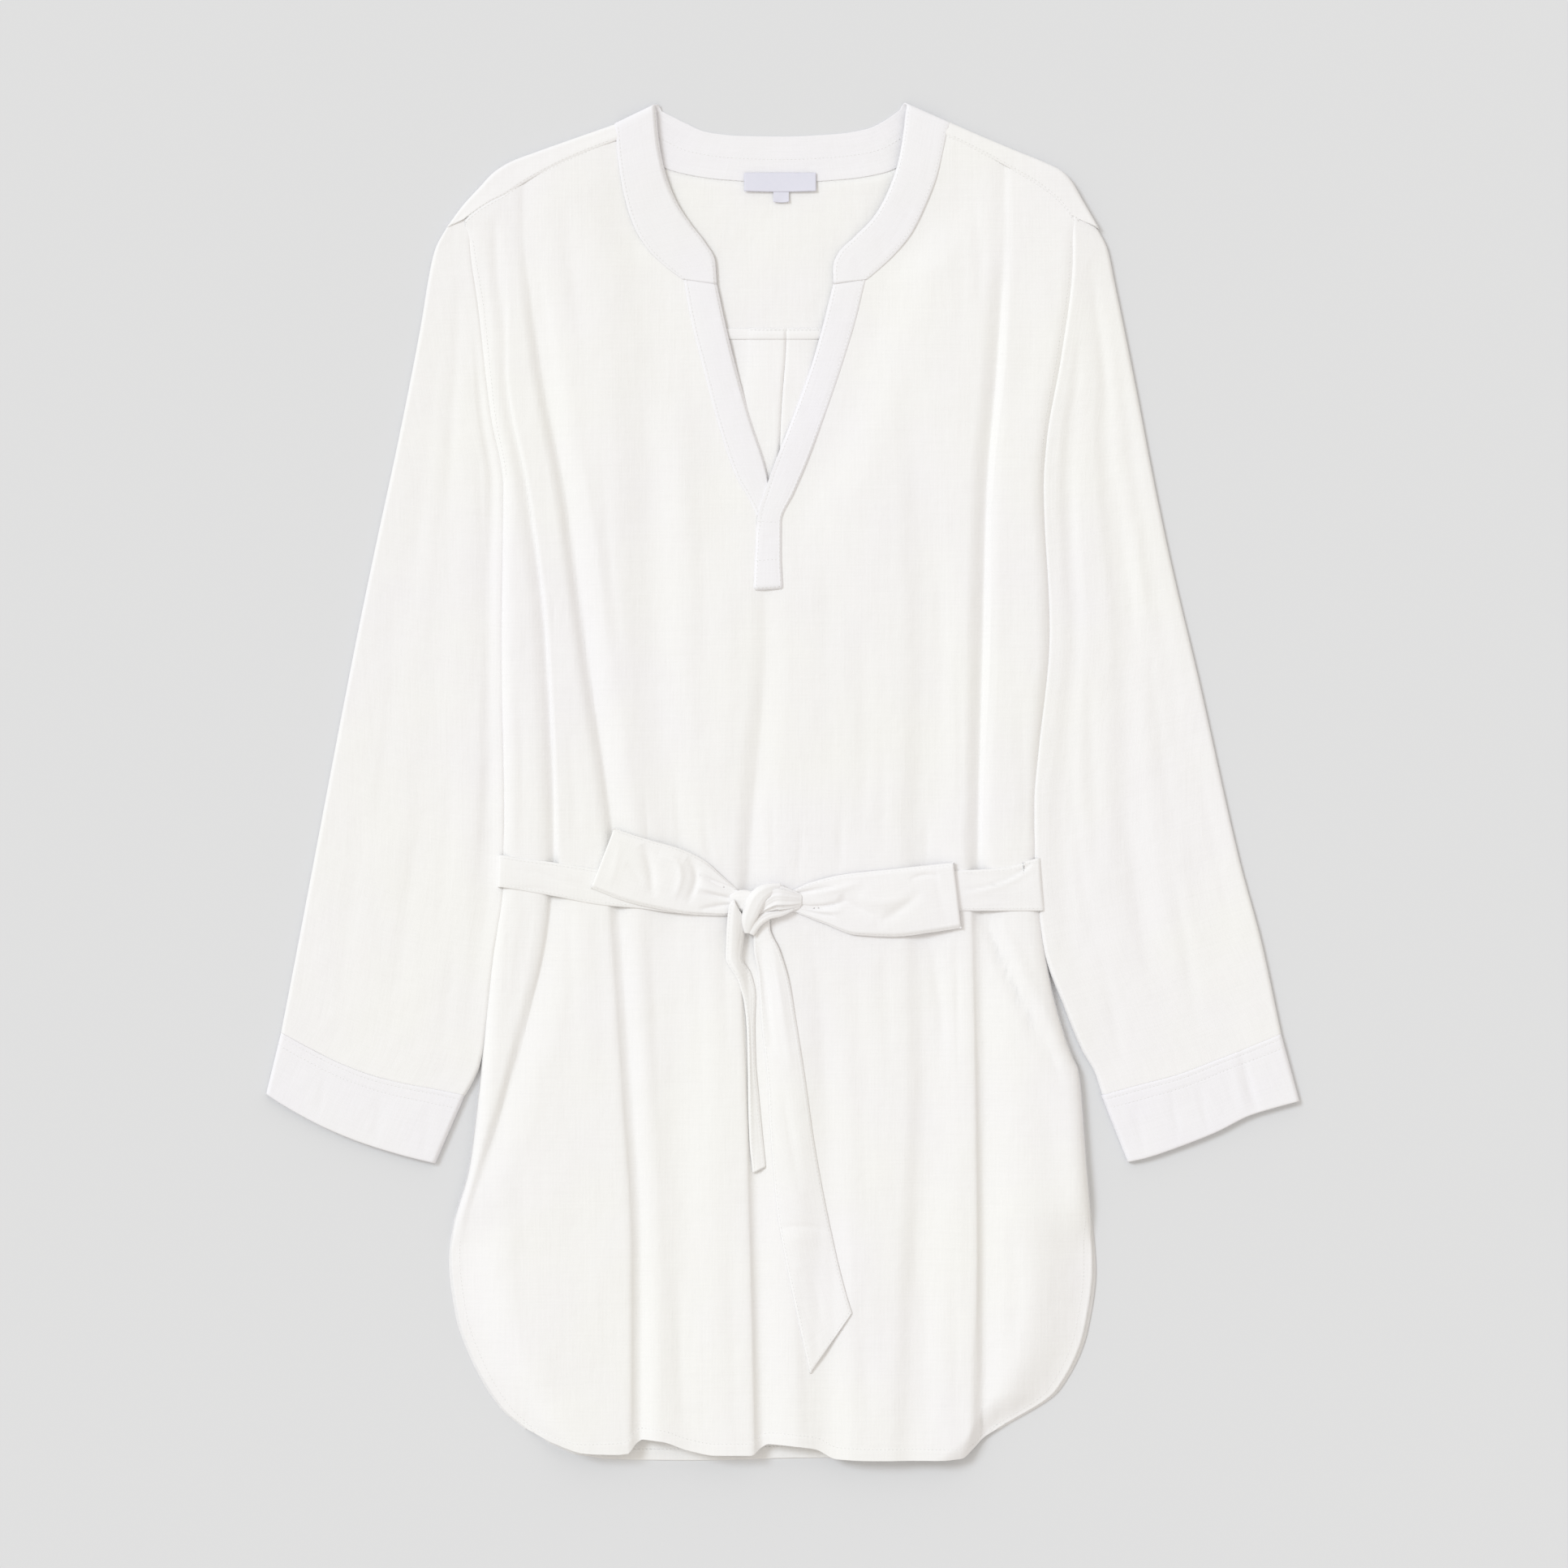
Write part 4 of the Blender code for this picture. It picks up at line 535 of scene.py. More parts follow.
def station_rows():
    """Stations down the side of the front and back."""
    above = SHOULDER_POINT + (SLIT_FOOT - SHOULDER_POINT) * np.linspace(0, 1, 10) ** 1.3
    below = np.concatenate([np.linspace(SLIT_FOOT, -29, 7), [-43, -68, -93, -107], np.linspace(-140, -300, 5),
                            -300 - 124 * np.sin(np.linspace(0, np.pi / 2, 12)[1:])])
    return np.concatenate([above, below[1:]])


def half_of_front(names, top, neck, edge, mirrored):
    """Points of the front from its side edge to the slit or the centre fold.

    A row starts level at the side and climbs towards the neck as the shoulder seam does, less and
    less down to the slit's foot.
    """
    stations = denser(station_rows(), 5)
    full = SHOULDER_POINT + 60
    climb = ease(stations, SLIT_FOOT, full) / ease(SHOULDER_POINT, SLIT_FOOT, full)
    side = -1 if mirrored else 1

    def fold_line(name, step):
        def place(y):
            line, _, left, right, *_ = fold_values(name, y)
            return line + (-left, 0, right)[1 + step * side]
        return place

    def inner(y):
        return np.where(y > SLIT_FOOT + 0.5, table(neck, y), smooth(y, STATIONS, FOLD_LINES["centre"]))

    def before_inner(y):
        line, _, left, right, *_ = fold_values("centre", y)
        wall = right if mirrored else left
        return np.where(y > SLIT_FOOT + 0.5, inner(y) - side * 14, line - side * wall)

    places = [lambda y: table(edge, y), lambda y: table(edge, y) + side * SIDE_ROLL * 0.25,
              lambda y: table(edge, y) + side * SIDE_ROLL]
    counts = [4, 5, 4]
    for name in (names[::-1] if mirrored else names):
        places += [fold_line(name, step) for step in (-1, 0, 1)]
        counts += [12, 12, 7]
    places += [before_inner, inner]
    counts += [14]
    knots = []
    for place in places:
        x = place(stations)
        for _ in range(6):
            x = place(stations + climb * table(top, x))
        knots.append(x)
    across = spread([side * knot for knot in knots], counts) * side
    return front_surface(across, stations[:, None] + climb[:, None] * table(top, across))


def coons(bottom, top, left, right):
    """A sheet between four edges: the sum of the two ruled sheets, less the one through the corners."""
    u = np.linspace(0, 1, len(bottom))[None, :, None]
    v = np.linspace(0, 1, len(left))[:, None, None]
    corners = ((1 - u) * (1 - v) * bottom[0] + u * (1 - v) * bottom[-1]
               + (1 - u) * v * top[0] + u * v * top[-1])
    return ((1 - v) * bottom + v * top + (1 - u) * left[:, None] + u * right[:, None] - corners)


def thicken_edge(grid, width, rise, axis):
    """Raises a strip along a grid's last line, as a turned hem does, with a soft step where it ends."""
    lines = np.moveaxis(grid, axis, 0)
    run = np.concatenate([np.zeros((1, *lines.shape[1:-1])),
                          np.cumsum(np.linalg.norm(np.diff(lines[::-1], axis=0), axis=-1), axis=0)])[::-1]
    groove = 0.2 * np.exp(-((run - width) / 0.7) ** 2)
    lines[..., 2] += rise * (1 - ease(run, width - 0.8, width + 0.8)) - groove
    return grid


def weave_map(grid):
    """Distances across and along a grid, in metres, for the weave."""
    across = np.cumsum(np.linalg.norm(np.diff(grid, axis=1, prepend=grid[:, :1]), axis=-1), axis=1)
    along = np.cumsum(np.linalg.norm(np.diff(grid, axis=0, prepend=grid[:1]), axis=-1), axis=0)
    middle = across[:, across.shape[1] // 2][:, None]
    return np.stack([across - middle, along[:, along.shape[1] // 2][:, None] + 0 * across], axis=-1) * MM


def grid_faces(rows, columns, start=0, wrapped=False):
    """Quads of a grid of points stored row by row; a wrapped grid closes round on itself."""
    i, j = np.meshgrid(np.arange(rows - 1), np.arange(columns - (not wrapped)), indexing="ij")
    k = (j + 1) % columns
    here, below = start + i * columns, start + (i + 1) * columns
    return np.stack([here + j, here + k, below + k, below + j], axis=-1).reshape(-1, 4)


def fill_mesh(mesh, points, faces):
    """Puts arrays of points and quads into a mesh."""
    mesh.vertices.add(len(points))
    mesh.vertices.foreach_set("co", (np.asarray(points, float) * MM).ravel())
    mesh.loops.add(faces.size)
    mesh.loops.foreach_set("vertex_index", faces.ravel().astype(np.int32))
    mesh.polygons.add(len(faces))
    mesh.polygons.foreach_set("loop_start", np.arange(0, faces.size, 4, dtype=np.int32))
    mesh.update(calc_edges=True)


def settle(piece, material, node):
    """Gives a piece its material, ties it to the body and hides the node it stands for."""
    piece.data.materials.append(material)
    piece.data.shade_smooth()
    bpy.context.scene.collection.objects.link(piece)
    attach(piece, "root")
    if node:
        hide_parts(node)
    return piece


def add_cloth(name, grids, material, node=None, wrapped=False, thickness=None, maps=None):
    """A cloth shell. Each grid is its outer face; Solidify grows the wall inwards."""
    points, faces, weave, count = [], [], [], 0
    for i, grid in enumerate(grids):
        rows, columns = grid.shape[:2]
        points.append(grid.reshape(-1, 3))
        faces.append(grid_faces(rows, columns, count, wrapped))
        weave.append((weave_map(grid) if maps is None else maps[i]).reshape(-1, 2))
        count += rows * columns
    points, faces, weave = np.concatenate(points), np.concatenate(faces), np.concatenate(weave)
    mesh = bpy.data.meshes.new(name)
    fill_mesh(mesh, points, faces)
    layer = mesh.uv_layers.new(name="weave")
    layer.data.foreach_set("uv", weave[faces.ravel()].ravel())
    shape = bmesh.new()
    shape.from_mesh(mesh)
    bmesh.ops.remove_doubles(shape, verts=shape.verts, dist=0.01 * MM)
    shape.to_mesh(mesh)
    shape.free()
    piece = bpy.data.objects.new(name, mesh)
    settle(piece, material, node)
    solid = piece.modifiers.new("cloth", "SOLIDIFY")
    solid.thickness = thickness or bpy.context.scene.blouse.shell
    solid.offset = -1
    return piece


def nodes_of(name):
    """An empty material, its node tree's makers of nodes and links, and its shader."""
    material = bpy.data.materials.get(name)
    if material:
        return material, None, None, None
    material = bpy.data.materials.new(name)
    material.use_nodes = True
    tree = material.node_tree
    shader = tree.nodes["Principled BSDF"]

    def add(kind, inputs=(), **settings):
        node = tree.nodes.new(kind)
        for key, value in settings.items():
            setattr(node, key, value)
        for key, value in dict(inputs).items():
            if isinstance(value, bpy.types.NodeSocket):
                tree.links.new(value, node.inputs[key])
            else:
                node.inputs[key].default_value = value
        return node

    return material, add, tree.links.new, shader


def linen_material(name, colour, crumple=1.0):
    """Plain-weave linen: two sets of uneven threads with slubs, soft crumples and a faint tone drift."""
    material, add, link, shader = nodes_of(name)
    if add is None:
        return material
    pitch = bpy.context.scene.blouse.thread_pitch
    weave = add("ShaderNodeUVMap", uv_map="weave").outputs["UV"]
    place = add("ShaderNodeTexCoord").outputs["Object"]
    threads = []
    for axis, stretch in (("X", (1.0, 0.03, 1.0)), ("Y", (0.03, 1.0, 1.0))):
        wander = add("ShaderNodeTexNoise", {"Vector": weave, "Scale": 90.0, "Detail": 2.0})
        bent = add("ShaderNodeVectorMath", {0: wander.outputs["Color"], 1: (0.0009, 0.0009, 0.0)},
                   operation="MULTIPLY")
        moved = add("ShaderNodeVectorMath", {0: weave, 1: bent.outputs[0]}, operation="ADD")
        wave = add("ShaderNodeTexWave", {"Vector": moved.outputs[0], "Scale": 0.314 / pitch,
                                         "Distortion": 0.0},
                   wave_type="BANDS", bands_direction=axis, wave_profile="SIN")
        scaled = add("ShaderNodeVectorMath", {0: weave, 1: stretch}, operation="MULTIPLY")
        slub = add("ShaderNodeTexNoise", {"Vector": scaled.outputs[0], "Scale": 0.55 / pitch, "Detail": 2.0,
                                          "Roughness": 0.6})
        thick = add("ShaderNodeMath", {0: wave.outputs["Fac"], 1: slub.outputs["Fac"]}, operation="MULTIPLY")
        threads.append((thick.outputs[0], slub.outputs["Fac"]))
    cross = add("ShaderNodeMath", {0: threads[0][0], 1: threads[1][0]}, operation="ADD")
    slubs = add("ShaderNodeMath", {0: threads[0][1], 1: threads[1][1]}, operation="ADD")
    grain = add("ShaderNodeMapping", {"Vector": weave, "Scale": (1.0, 0.35, 1.0)})
    crumpled = add("ShaderNodeTexNoise", {"Vector": grain.outputs[0], "Scale": 60.0, "Detail": 4.0,
                                          "Roughness": 0.55})
    rumpled = add("ShaderNodeTexNoise", {"Vector": place, "Scale": 22.0, "Detail": 3.0, "Roughness": 0.5})
    fine = add("ShaderNodeBump", {"Height": cross.outputs[0], "Strength": 0.28, "Distance": 0.00018})
    slubby = add("ShaderNodeBump", {"Height": slubs.outputs[0], "Strength": 0.26, "Distance": 0.0003,
                                    "Normal": fine.outputs[0]})
    soft = add("ShaderNodeBump", {"Height": crumpled.outputs["Fac"], "Strength": 0.55 * crumple,
                                  "Distance": 0.0012, "Normal": slubby.outputs[0]})
    broad = add("ShaderNodeBump", {"Height": rumpled.outputs["Fac"], "Strength": 0.5 * crumple,
                                   "Distance": 0.003, "Normal": soft.outputs[0]})
    link(broad.outputs[0], shader.inputs["Normal"])
    tone = add("ShaderNodeMapRange", {"Value": slubs.outputs[0], "From Min": 0.6, "From Max": 1.4,
                                      "To Min": 0.98, "To Max": 1.016})
    drift = add("ShaderNodeTexNoise", {"Vector": place, "Scale": 6.0, "Detail": 3.0, "Roughness": 0.6})
    sides = add("ShaderNodeMapRange", {"Value": drift.outputs["Fac"], "From Min": 0.38, "From Max": 0.62})
    warm = add("ShaderNodeMix", {0: sides.outputs[0]}, data_type="RGBA")
    warm.inputs[6].default_value = (*colour, 1.0)
    warm.inputs[7].default_value = (colour[0] * 0.992, colour[1] * 0.985, colour[2] * 1.012, 1.0)
    shade = add("ShaderNodeVectorMath", {0: warm.outputs[2], "Scale": tone.outputs[0]}, operation="SCALE")
    link(shade.outputs[0], shader.inputs["Base Color"])
    shader.inputs["Roughness"].default_value = 0.88
    shader.inputs["Sheen Weight"].default_value = 0.08
    shader.inputs["Sheen Roughness"].default_value = 0.5
    shader.inputs["Specular IOR Level"].default_value = 0.2
    return material


def single_linen():
    """The body's and sleeves' single cloth."""
    return linen_material("white linen", tuple(bpy.context.scene.blouse.linen))


def double_linen():
    """The bands' and cuffs' double cloth."""
    return linen_material("double white linen", tuple(bpy.context.scene.blouse.double_linen), 0.8)


def satin_material():
    """Woven satin: fine ribs across, a soft sheen along the threads."""
    material, add, link, shader = nodes_of("label satin")
    if add is None:
        return material
    weave = add("ShaderNodeUVMap", uv_map="weave").outputs["UV"]
    ribs = add("ShaderNodeTexWave", {"Vector": weave, "Scale": 900.0, "Distortion": 1.5}, bands_direction="Y")
    bump = add("ShaderNodeBump", {"Height": ribs.outputs["Fac"], "Strength": 0.3, "Distance": 0.0001})
    link(bump.outputs[0], shader.inputs["Normal"])
    tone = add("ShaderNodeTexNoise", {"Vector": weave, "Scale": 300.0, "Detail": 2.0})
    colour = bpy.context.scene.blouse.satin
    mix = add("ShaderNodeMix", {0: tone.outputs["Fac"]}, data_type="RGBA")
    mix.inputs[6].default_value = (*colour, 1.0)
    mix.inputs[7].default_value = (colour[0] * 0.95, colour[1] * 0.96, colour[2] * 0.98, 1.0)
    link(mix.outputs[2], shader.inputs["Base Color"])
    shader.inputs["Roughness"].default_value = 0.45
    shader.inputs["Sheen Weight"].default_value = 0.2
    return material


def thread_material():
    """Sewing thread: white, twisted, slightly glossier than the linen."""
    material, add, link, shader = nodes_of("sewing thread")
    if add is None:
        return material
    place = add("ShaderNodeTexCoord").outputs["Object"]
    twist = add("ShaderNodeTexNoise", {"Vector": place, "Scale": 2500.0, "Detail": 1.0})
    bump = add("ShaderNodeBump", {"Height": twist.outputs["Fac"], "Strength": 0.4, "Distance": 0.0001})
    link(bump.outputs[0], shader.inputs["Normal"])
    shader.inputs["Base Color"].default_value = (0.86, 0.855, 0.84, 1.0)
    shader.inputs["Roughness"].default_value = 0.6
    return material


def front_grids():
    """Both halves of the front, with the turned hem along the bottom."""
    left = half_of_front(LEFT_FOLDS, TOP_LEFT, NECK_LEFT, LEFT_EDGE, False)
    right = half_of_front(RIGHT_FOLDS, TOP_RIGHT, NECK_RIGHT, RIGHT_EDGE, True)
    return thicken_edge(left, 8.0, 0.25, 0), thicken_edge(right, 8.0, 0.25, 0)


def back_grid():
    """The back below the yoke: flat, lifted over the belt, with its centre box pleat."""
    y = station_rows()
    y = denser(np.concatenate([[YOKE_SEAM - GAP], y[y < YOKE_SEAM - 8]]), 3)[:, None]
    left, right = table(LEFT_EDGE, y), table(RIGHT_EDGE, y)
    grown = 1.6 * ease(-y, 270, 330)
    left, right = left - grown, right + 1.4 * grown
    lay = np.array([0.7, 1.5, 2.5, 4, 12, PLEAT_HALF, PLEAT_HALF + 2, PLEAT_HALF + 4])
    lay = np.concatenate([-lay[::-1], [0], lay])
    shares = np.array([0, 0.03, 0.06, 0.12, 0.25, 0.4, 0.55, 0.7, 0.85, 0.95])
    middle = table(PLEAT_LINE, y)
    across = np.concatenate([left + (-40 - left) * shares, lay + middle,
                             right + (40 - right) * shares[::-1]], axis=1)
    drop = table(BACK_HEM, across) * ease(-y, 424 - HEM_LENGTH, 424)
    away = across - middle
    pleat = PLEAT_RAISE * (1 - ease(np.abs(away), PLEAT_HALF, PLEAT_HALF + 4))
    pleat = pleat * (1 - 0.9 * np.exp(-(away / 0.9) ** 2) + 0.25 * np.exp(-((away + 3) / 2.2) ** 2))
    lift = BACK_LIFT * in_belt_zone(y) + pleat * ease(y, PLEAT_END, PLEAT_END + 90)
    beside = across - SLIT_X
    under_slit = np.maximum(1 - np.abs(beside) / 75, 0) * ease(y, 120, 185) * (1 - ease(y, 258, 287))
    at_foot = np.exp(-((y - SLIT_FOOT - 8) / 24) ** 2 - (beside / 22) ** 2)
    lift = lift + SLIT_LIFT * under_slit + SLIT_FOOT_LIFT * at_foot
    return np.stack([across, np.broadcast_to(y, across.shape) - drop, lift], axis=-1)


def yoke_grids():
    """The back yoke: flat at the back, rolled over each shoulder to a strip on the front."""
    shoulder_columns, neck_columns, plate_rows = 60, 60, 40
    radius = SHOULDER_HEIGHT / 2
    turn = np.linspace(-np.pi / 2, np.pi / 2, 14)
    flaps, shoulders = [], []
    for line, seam in ((SHOULDER_LEFT, YOKE_SEAM_LEFT), (SHOULDER_RIGHT, YOKE_SEAM_RIGHT)):
        line, seam = trace(line, shoulder_columns), trace(seam, shoulder_columns)
        inwards = seam - line
        inwards /= np.linalg.norm(inwards, axis=1)[:, None]
        roll = [np.column_stack([line + inwards * radius * (1 - np.cos(a)),
                                 np.full(shoulder_columns, radius * (1 + np.sin(a)))]) for a in turn]
        start = line + inwards * radius
        forward = (seam - start) / np.linalg.norm(seam - start, axis=1)[:, None]
        strip = [(start + (seam - start) * t, lift)
                 for t, lift in ((0.2, 0.05), (0.4, 0.15), (0.6, 0.3), (0.8, 0.45), (1.0, 0.55))]
        strip += [(seam + forward * out, lift)
                  for out, lift in ((0.7, 0.6), (1.4, 0.55), (2.1, 0.4), (2.8, 0.15), (3.2, -0.2))]
        strip = [np.column_stack([line_at, np.full(shoulder_columns, SHOULDER_HEIGHT + lift)])
                 for line_at, lift in strip]
        flaps.append(np.stack([*roll, *strip]))
        shoulders.append(flaps[-1][0, :, :2])
    neck = trace([row[2:4] for row in BAND_BACK], neck_columns)
    neck[:, 1] += 0.4
    between = (neck[:, 0] > shoulders[0][-1, 0] + 3) & (neck[:, 0] < shoulders[1][-1, 0] - 3)
    top = np.concatenate([shoulders[0], neck[between], shoulders[1][::-1]])
    left, right = trace(YOKE_SIDE_LEFT, plate_rows), trace(YOKE_SIDE_RIGHT, plate_rows)
    left[-1], right[-1] = top[0], top[-1]
    share = (top[:, 0] - top[0, 0]) / (top[-1, 0] - top[0, 0])
    bottom = np.column_stack([left[0, 0] + (right[0, 0] - left[0, 0]) * share, np.full(len(top), left[0, 1])])
    plate = coons(bottom, top, left, right)
    plate = np.concatenate([plate, np.zeros((*plate.shape[:2], 1))], axis=-1)
    return plate, flaps[0], flaps[1]


def band_across(rows, heights, shares, crown=0.25, falls=(0.35, 0.35), reach=(1.3, 1.3)):
    """A band's points from edge to edge: level, with soft edges that fall as told, and a sewn groove."""
    t = shares[None, :, None]
    flat = rows[:, None, :2] + (rows[:, None, 2:4] - rows[:, None, :2]) * t
    width = np.linalg.norm(rows[:, 2:4] - rows[:, :2], axis=1)[:, None]
    height = heights[:, None] + crown * np.sin(np.pi * shares)
    for fall, far, near in zip(falls, reach, (shares * width, (1 - shares) * width)):
        height = height - np.reshape(fall, (-1, 1)) * (1 - ease(near, 0, far))
        height = height - 0.12 * np.exp(-((near - 2.6) / 0.6) ** 2)
    return np.concatenate([flat, height[..., None]], axis=-1)


def widen(rows, first, last):
    """Moves a band's two edges outwards, so far each."""
    out = rows[:, :2] - rows[:, 2:4]
    out = out / np.linalg.norm(out, axis=1)[:, None]
    return np.column_stack([rows[:, :2] + out * np.reshape(first, (-1, 1)),
                            rows[:, 2:4] - out * np.reshape(last, (-1, 1)), rows[:, 4:]])


EDGED = np.concatenate([[0, 0.02, 0.05, 0.085, 0.11, 0.135, 0.17], np.linspace(0.22, 0.78, 12),
                        [0.83, 0.865, 0.89, 0.915, 0.95, 0.98, 1.0]])


def neck_band_grid():
    """The band round the neck: on the front, rolled over at the shoulders, flat at the back."""
    fronts = [trace(BAND_FRONT_LEFT, 90), trace(BAND_FRONT_RIGHT, 90)]
    fronts = [np.column_stack([part, loft(part[:, 3]) - neck_dip(part[:, 1]) + BAND_RISE]) for part in fronts]
    back = trace(BAND_BACK, 90)
    rolls = []
    for over, roll, under in ((fronts[0][-1], BAND_ROLL_LEFT, back[0]),
                              (fronts[1][0], BAND_ROLL_RIGHT, back[-1])):
        turn = np.radians(np.linspace(72, -72, 9))[:, None]
        lean = np.array(roll) - (over[:4] + under[:4]) / 2
        flat = (over[:4] + under[:4]) / 2 + (over[:4] - under[:4]) / 2 * np.sin(turn) + lean * np.cos(turn)
        rolls.append(np.column_stack([flat, over[4] / 2 * (1 + np.sin(turn))]))
    back = np.column_stack([back, np.zeros(len(back))])
    rows = np.concatenate([fronts[0], rolls[0], back, rolls[1][::-1], fronts[1]])
    rows = np.column_stack([rows[:, 2:4], rows[:, :2], rows[:, 4]])
    on_front = np.clip(rows[:, 4] / SHOULDER_HEIGHT, 0, 1)[:, None]
    rows = widen(rows, 1.5, 0)
    inner_fall = np.where(rows[:, 0] < 0, 0.72, 0.3) * (rows[:, 4] - 1.6).clip(0)
    grid = band_across(rows, rows[:, 4], EDGED, falls=(BAND_RISE - 0.05, inner_fall), reach=(1.3, 2.4))
    grid[..., 2] = rows[:, 4, None] + (grid[..., 2] - rows[:, 4, None]) * on_front
    grid[..., 2] += 0.2 * (1 - ease(EDGED, 0.06, 0.2)) * (1 - on_front)
    grid[..., 2] += crease_height(grid, BAND_CREASES) * on_front
    return grid


def placket_grid(rows, over):
    """A straight band down one side of the neck slit; the over one climbs onto the other."""
    rows = trace(rows, 120)
    middle = (rows[:, 1] + rows[:, 3]) / 2
    ground = loft(middle) - neck_dip(middle)
    height = ground + BAND_RISE
    if over:
        height = height + 0.8 * (1 - ease(middle, OVERLAP_FOOT, OVERLAP_TOP))
    height = height - 0.35 * ease(middle, 322.5, 325)
    sewn = height - ground - 0.05
    boxed = (1 - ease(middle, 160, 172)) * over
    apart = 1 - over * (1 - ease(middle, OVERLAP_FOOT - 10, OVERLAP_TOP - 10))
    curl = (0.3 if over else 0.66) * (height - 2.2) * apart
    rows = widen(rows, 0.4 * boxed, 0.6)
    grid = band_across(rows, height, EDGED, falls=(curl + (sewn - curl) * boxed, sewn), reach=(2.4, 1.3))
    foot = np.linalg.norm(grid - grid[-1], axis=-1) if over else 9 + 0 * grid[..., 0]
    grid[..., 2] -= (sewn[:, None] - 0.1) * (1 - ease(foot, 0, 1.3))
    grid[..., 2] += crease_height(grid, BAND_CREASES)
    return grid[::-1] if over else grid


def around(middle_count, width):
    """Shares across each row of a flattened tube, closer together at its rounded edges."""
    near = np.array([0, 0.06, 0.15, 0.28, 0.45, 0.65, 0.85, 1.1, 1.5]) * EDGE_RADIUS / width
    middle = near[:, -1:] + (1 - 2 * near[:, -1:]) * np.linspace(0, 1, middle_count)[1:-1]
    return np.concatenate([near, middle, 1 - near[:, ::-1]], axis=1)


def lay_out(plan, middle_count):
    """Points across each row of a tube's plan, with the rows' shares and widths."""
    width = np.linalg.norm(plan[:, -1] - plan[:, 0], axis=-1)[:, None]
    shares = around(middle_count, width)
    fine = np.linspace(0, 1, plan.shape[1])
    rows = [np.column_stack([np.interp(share, fine, row[:, 0]), np.interp(share, fine, row[:, 1])])
            for share, row in zip(shares, plan)]
    return np.stack(rows), shares, width


def tube(plan, height, shares, width, creases):
    """A flattened tube: its upper face from edge to edge, then its flat underside back again."""
    inwards = np.minimum(shares, 1 - shares) * width / EDGE_RADIUS
    bulge = np.sqrt(1 - (1 - np.clip(inwards, 0, 1)) ** 2)
    middle = height.min(axis=1, keepdims=True) * 0.3
    upper = middle + (height + crease_height(plan, creases) - middle) * bulge
    lower = middle * (1 - bulge)
    top = np.concatenate([plan, upper[..., None]], axis=-1)
    under = np.concatenate([plan, lower[..., None]], axis=-1)[:, -2:0:-1]
    return np.concatenate([top, under], axis=1)


def beside_body(side, rows):
    """Points that lie so far outside the body's edge."""
    y, clear = np.asarray(rows, float).T
    if side == "left":
        return np.column_stack([table(LEFT_EDGE, y) - clear, y])
    return np.column_stack([table(RIGHT_EDGE, y) + clear, y])


def sleeve_grid(side):
    """A sleeve: a flattened tube from the armhole to the cuff seam."""
    sizes, rows = SLEEVES[side], 210
    clear = np.array(sizes["beside"])
    inner = beside_body(side, [(y, np.interp(-y, -clear[:, 0], clear[:, 1]))
                               for y in np.linspace(clear[0, 0], clear[-1, 0], 120)])
    outer, inner, seam = trace(sizes["outer"], rows), trace(inner, rows), trace(sizes["cuff_seam"], 120)
    tucked = trace(sizes["cuff_hem"], 120) - seam
    tucked *= SEAM_TUCK / np.linalg.norm(tucked, axis=1)[:, None]
    run = ease(np.linspace(0, 1, rows), 0.9, 1)[:, None]
    plan = coons(trace(sizes["shoulder"], 120), seam + tucked,
                 outer + run * tucked[0], inner + run * tucked[-1])
    plan, shares, width = lay_out(plan, 56)
    along = np.linspace(0, 1, rows)[:, None]
    height = SLEEVE_HEIGHT - (SLEEVE_HEIGHT - CUFF_HEIGHT + 0.3) * ease(along, 0.85, 0.995)
    height = height + sizes["lean"] * (shares - 0.5) * (1 - ease(along, 0.8, 1))
    for at_head, at_cuff, depth, half in SLEEVE_TROUGHS[side]:
        away = np.clip((shares - at_head - (at_cuff - at_head) * along) / half, -1, 1)
        shown = ease(along, 0.1, 0.3) * (1 - ease(along, 0.7, 1))
        height = height - depth * 0.5 * (1 + np.cos(np.pi * away)) * shown
    return tube(plan, height + 0 * shares, shares, width, SLEEVE_CREASES[side])


def cuff_grid(side):
    """The cuff: a flattened tube that starts a seam's gap past the sleeve."""
    sizes = SLEEVES[side]
    seam, hem = trace(sizes["cuff_seam"], 120), trace(sizes["cuff_hem"], 120)
    down = hem - seam
    seam = seam + down / np.linalg.norm(down, axis=1)[:, None] * CUFF_SEAM_GAP
    rows = np.linspace(0, 1, 60)[:, None, None]
    plan, shares, width = lay_out(seam + (hem - seam) * rows, 70)
    along = rows[:, :, 0] * CUFF_DEPTH
    grooves = sum(0.2 * np.exp(-((along - place) / 0.6) ** 2) for place in CUFF_GROOVES)
    ends = 0.5 * (1 - ease(along, 0, 1.2)) + 0.5 * ease(along, CUFF_DEPTH - 1.2, CUFF_DEPTH)
    height = CUFF_HEIGHT + 0.25 - grooves - ends
    return tube(plan, height + 0 * shares, shares, width, CUFF_CREASES[side])


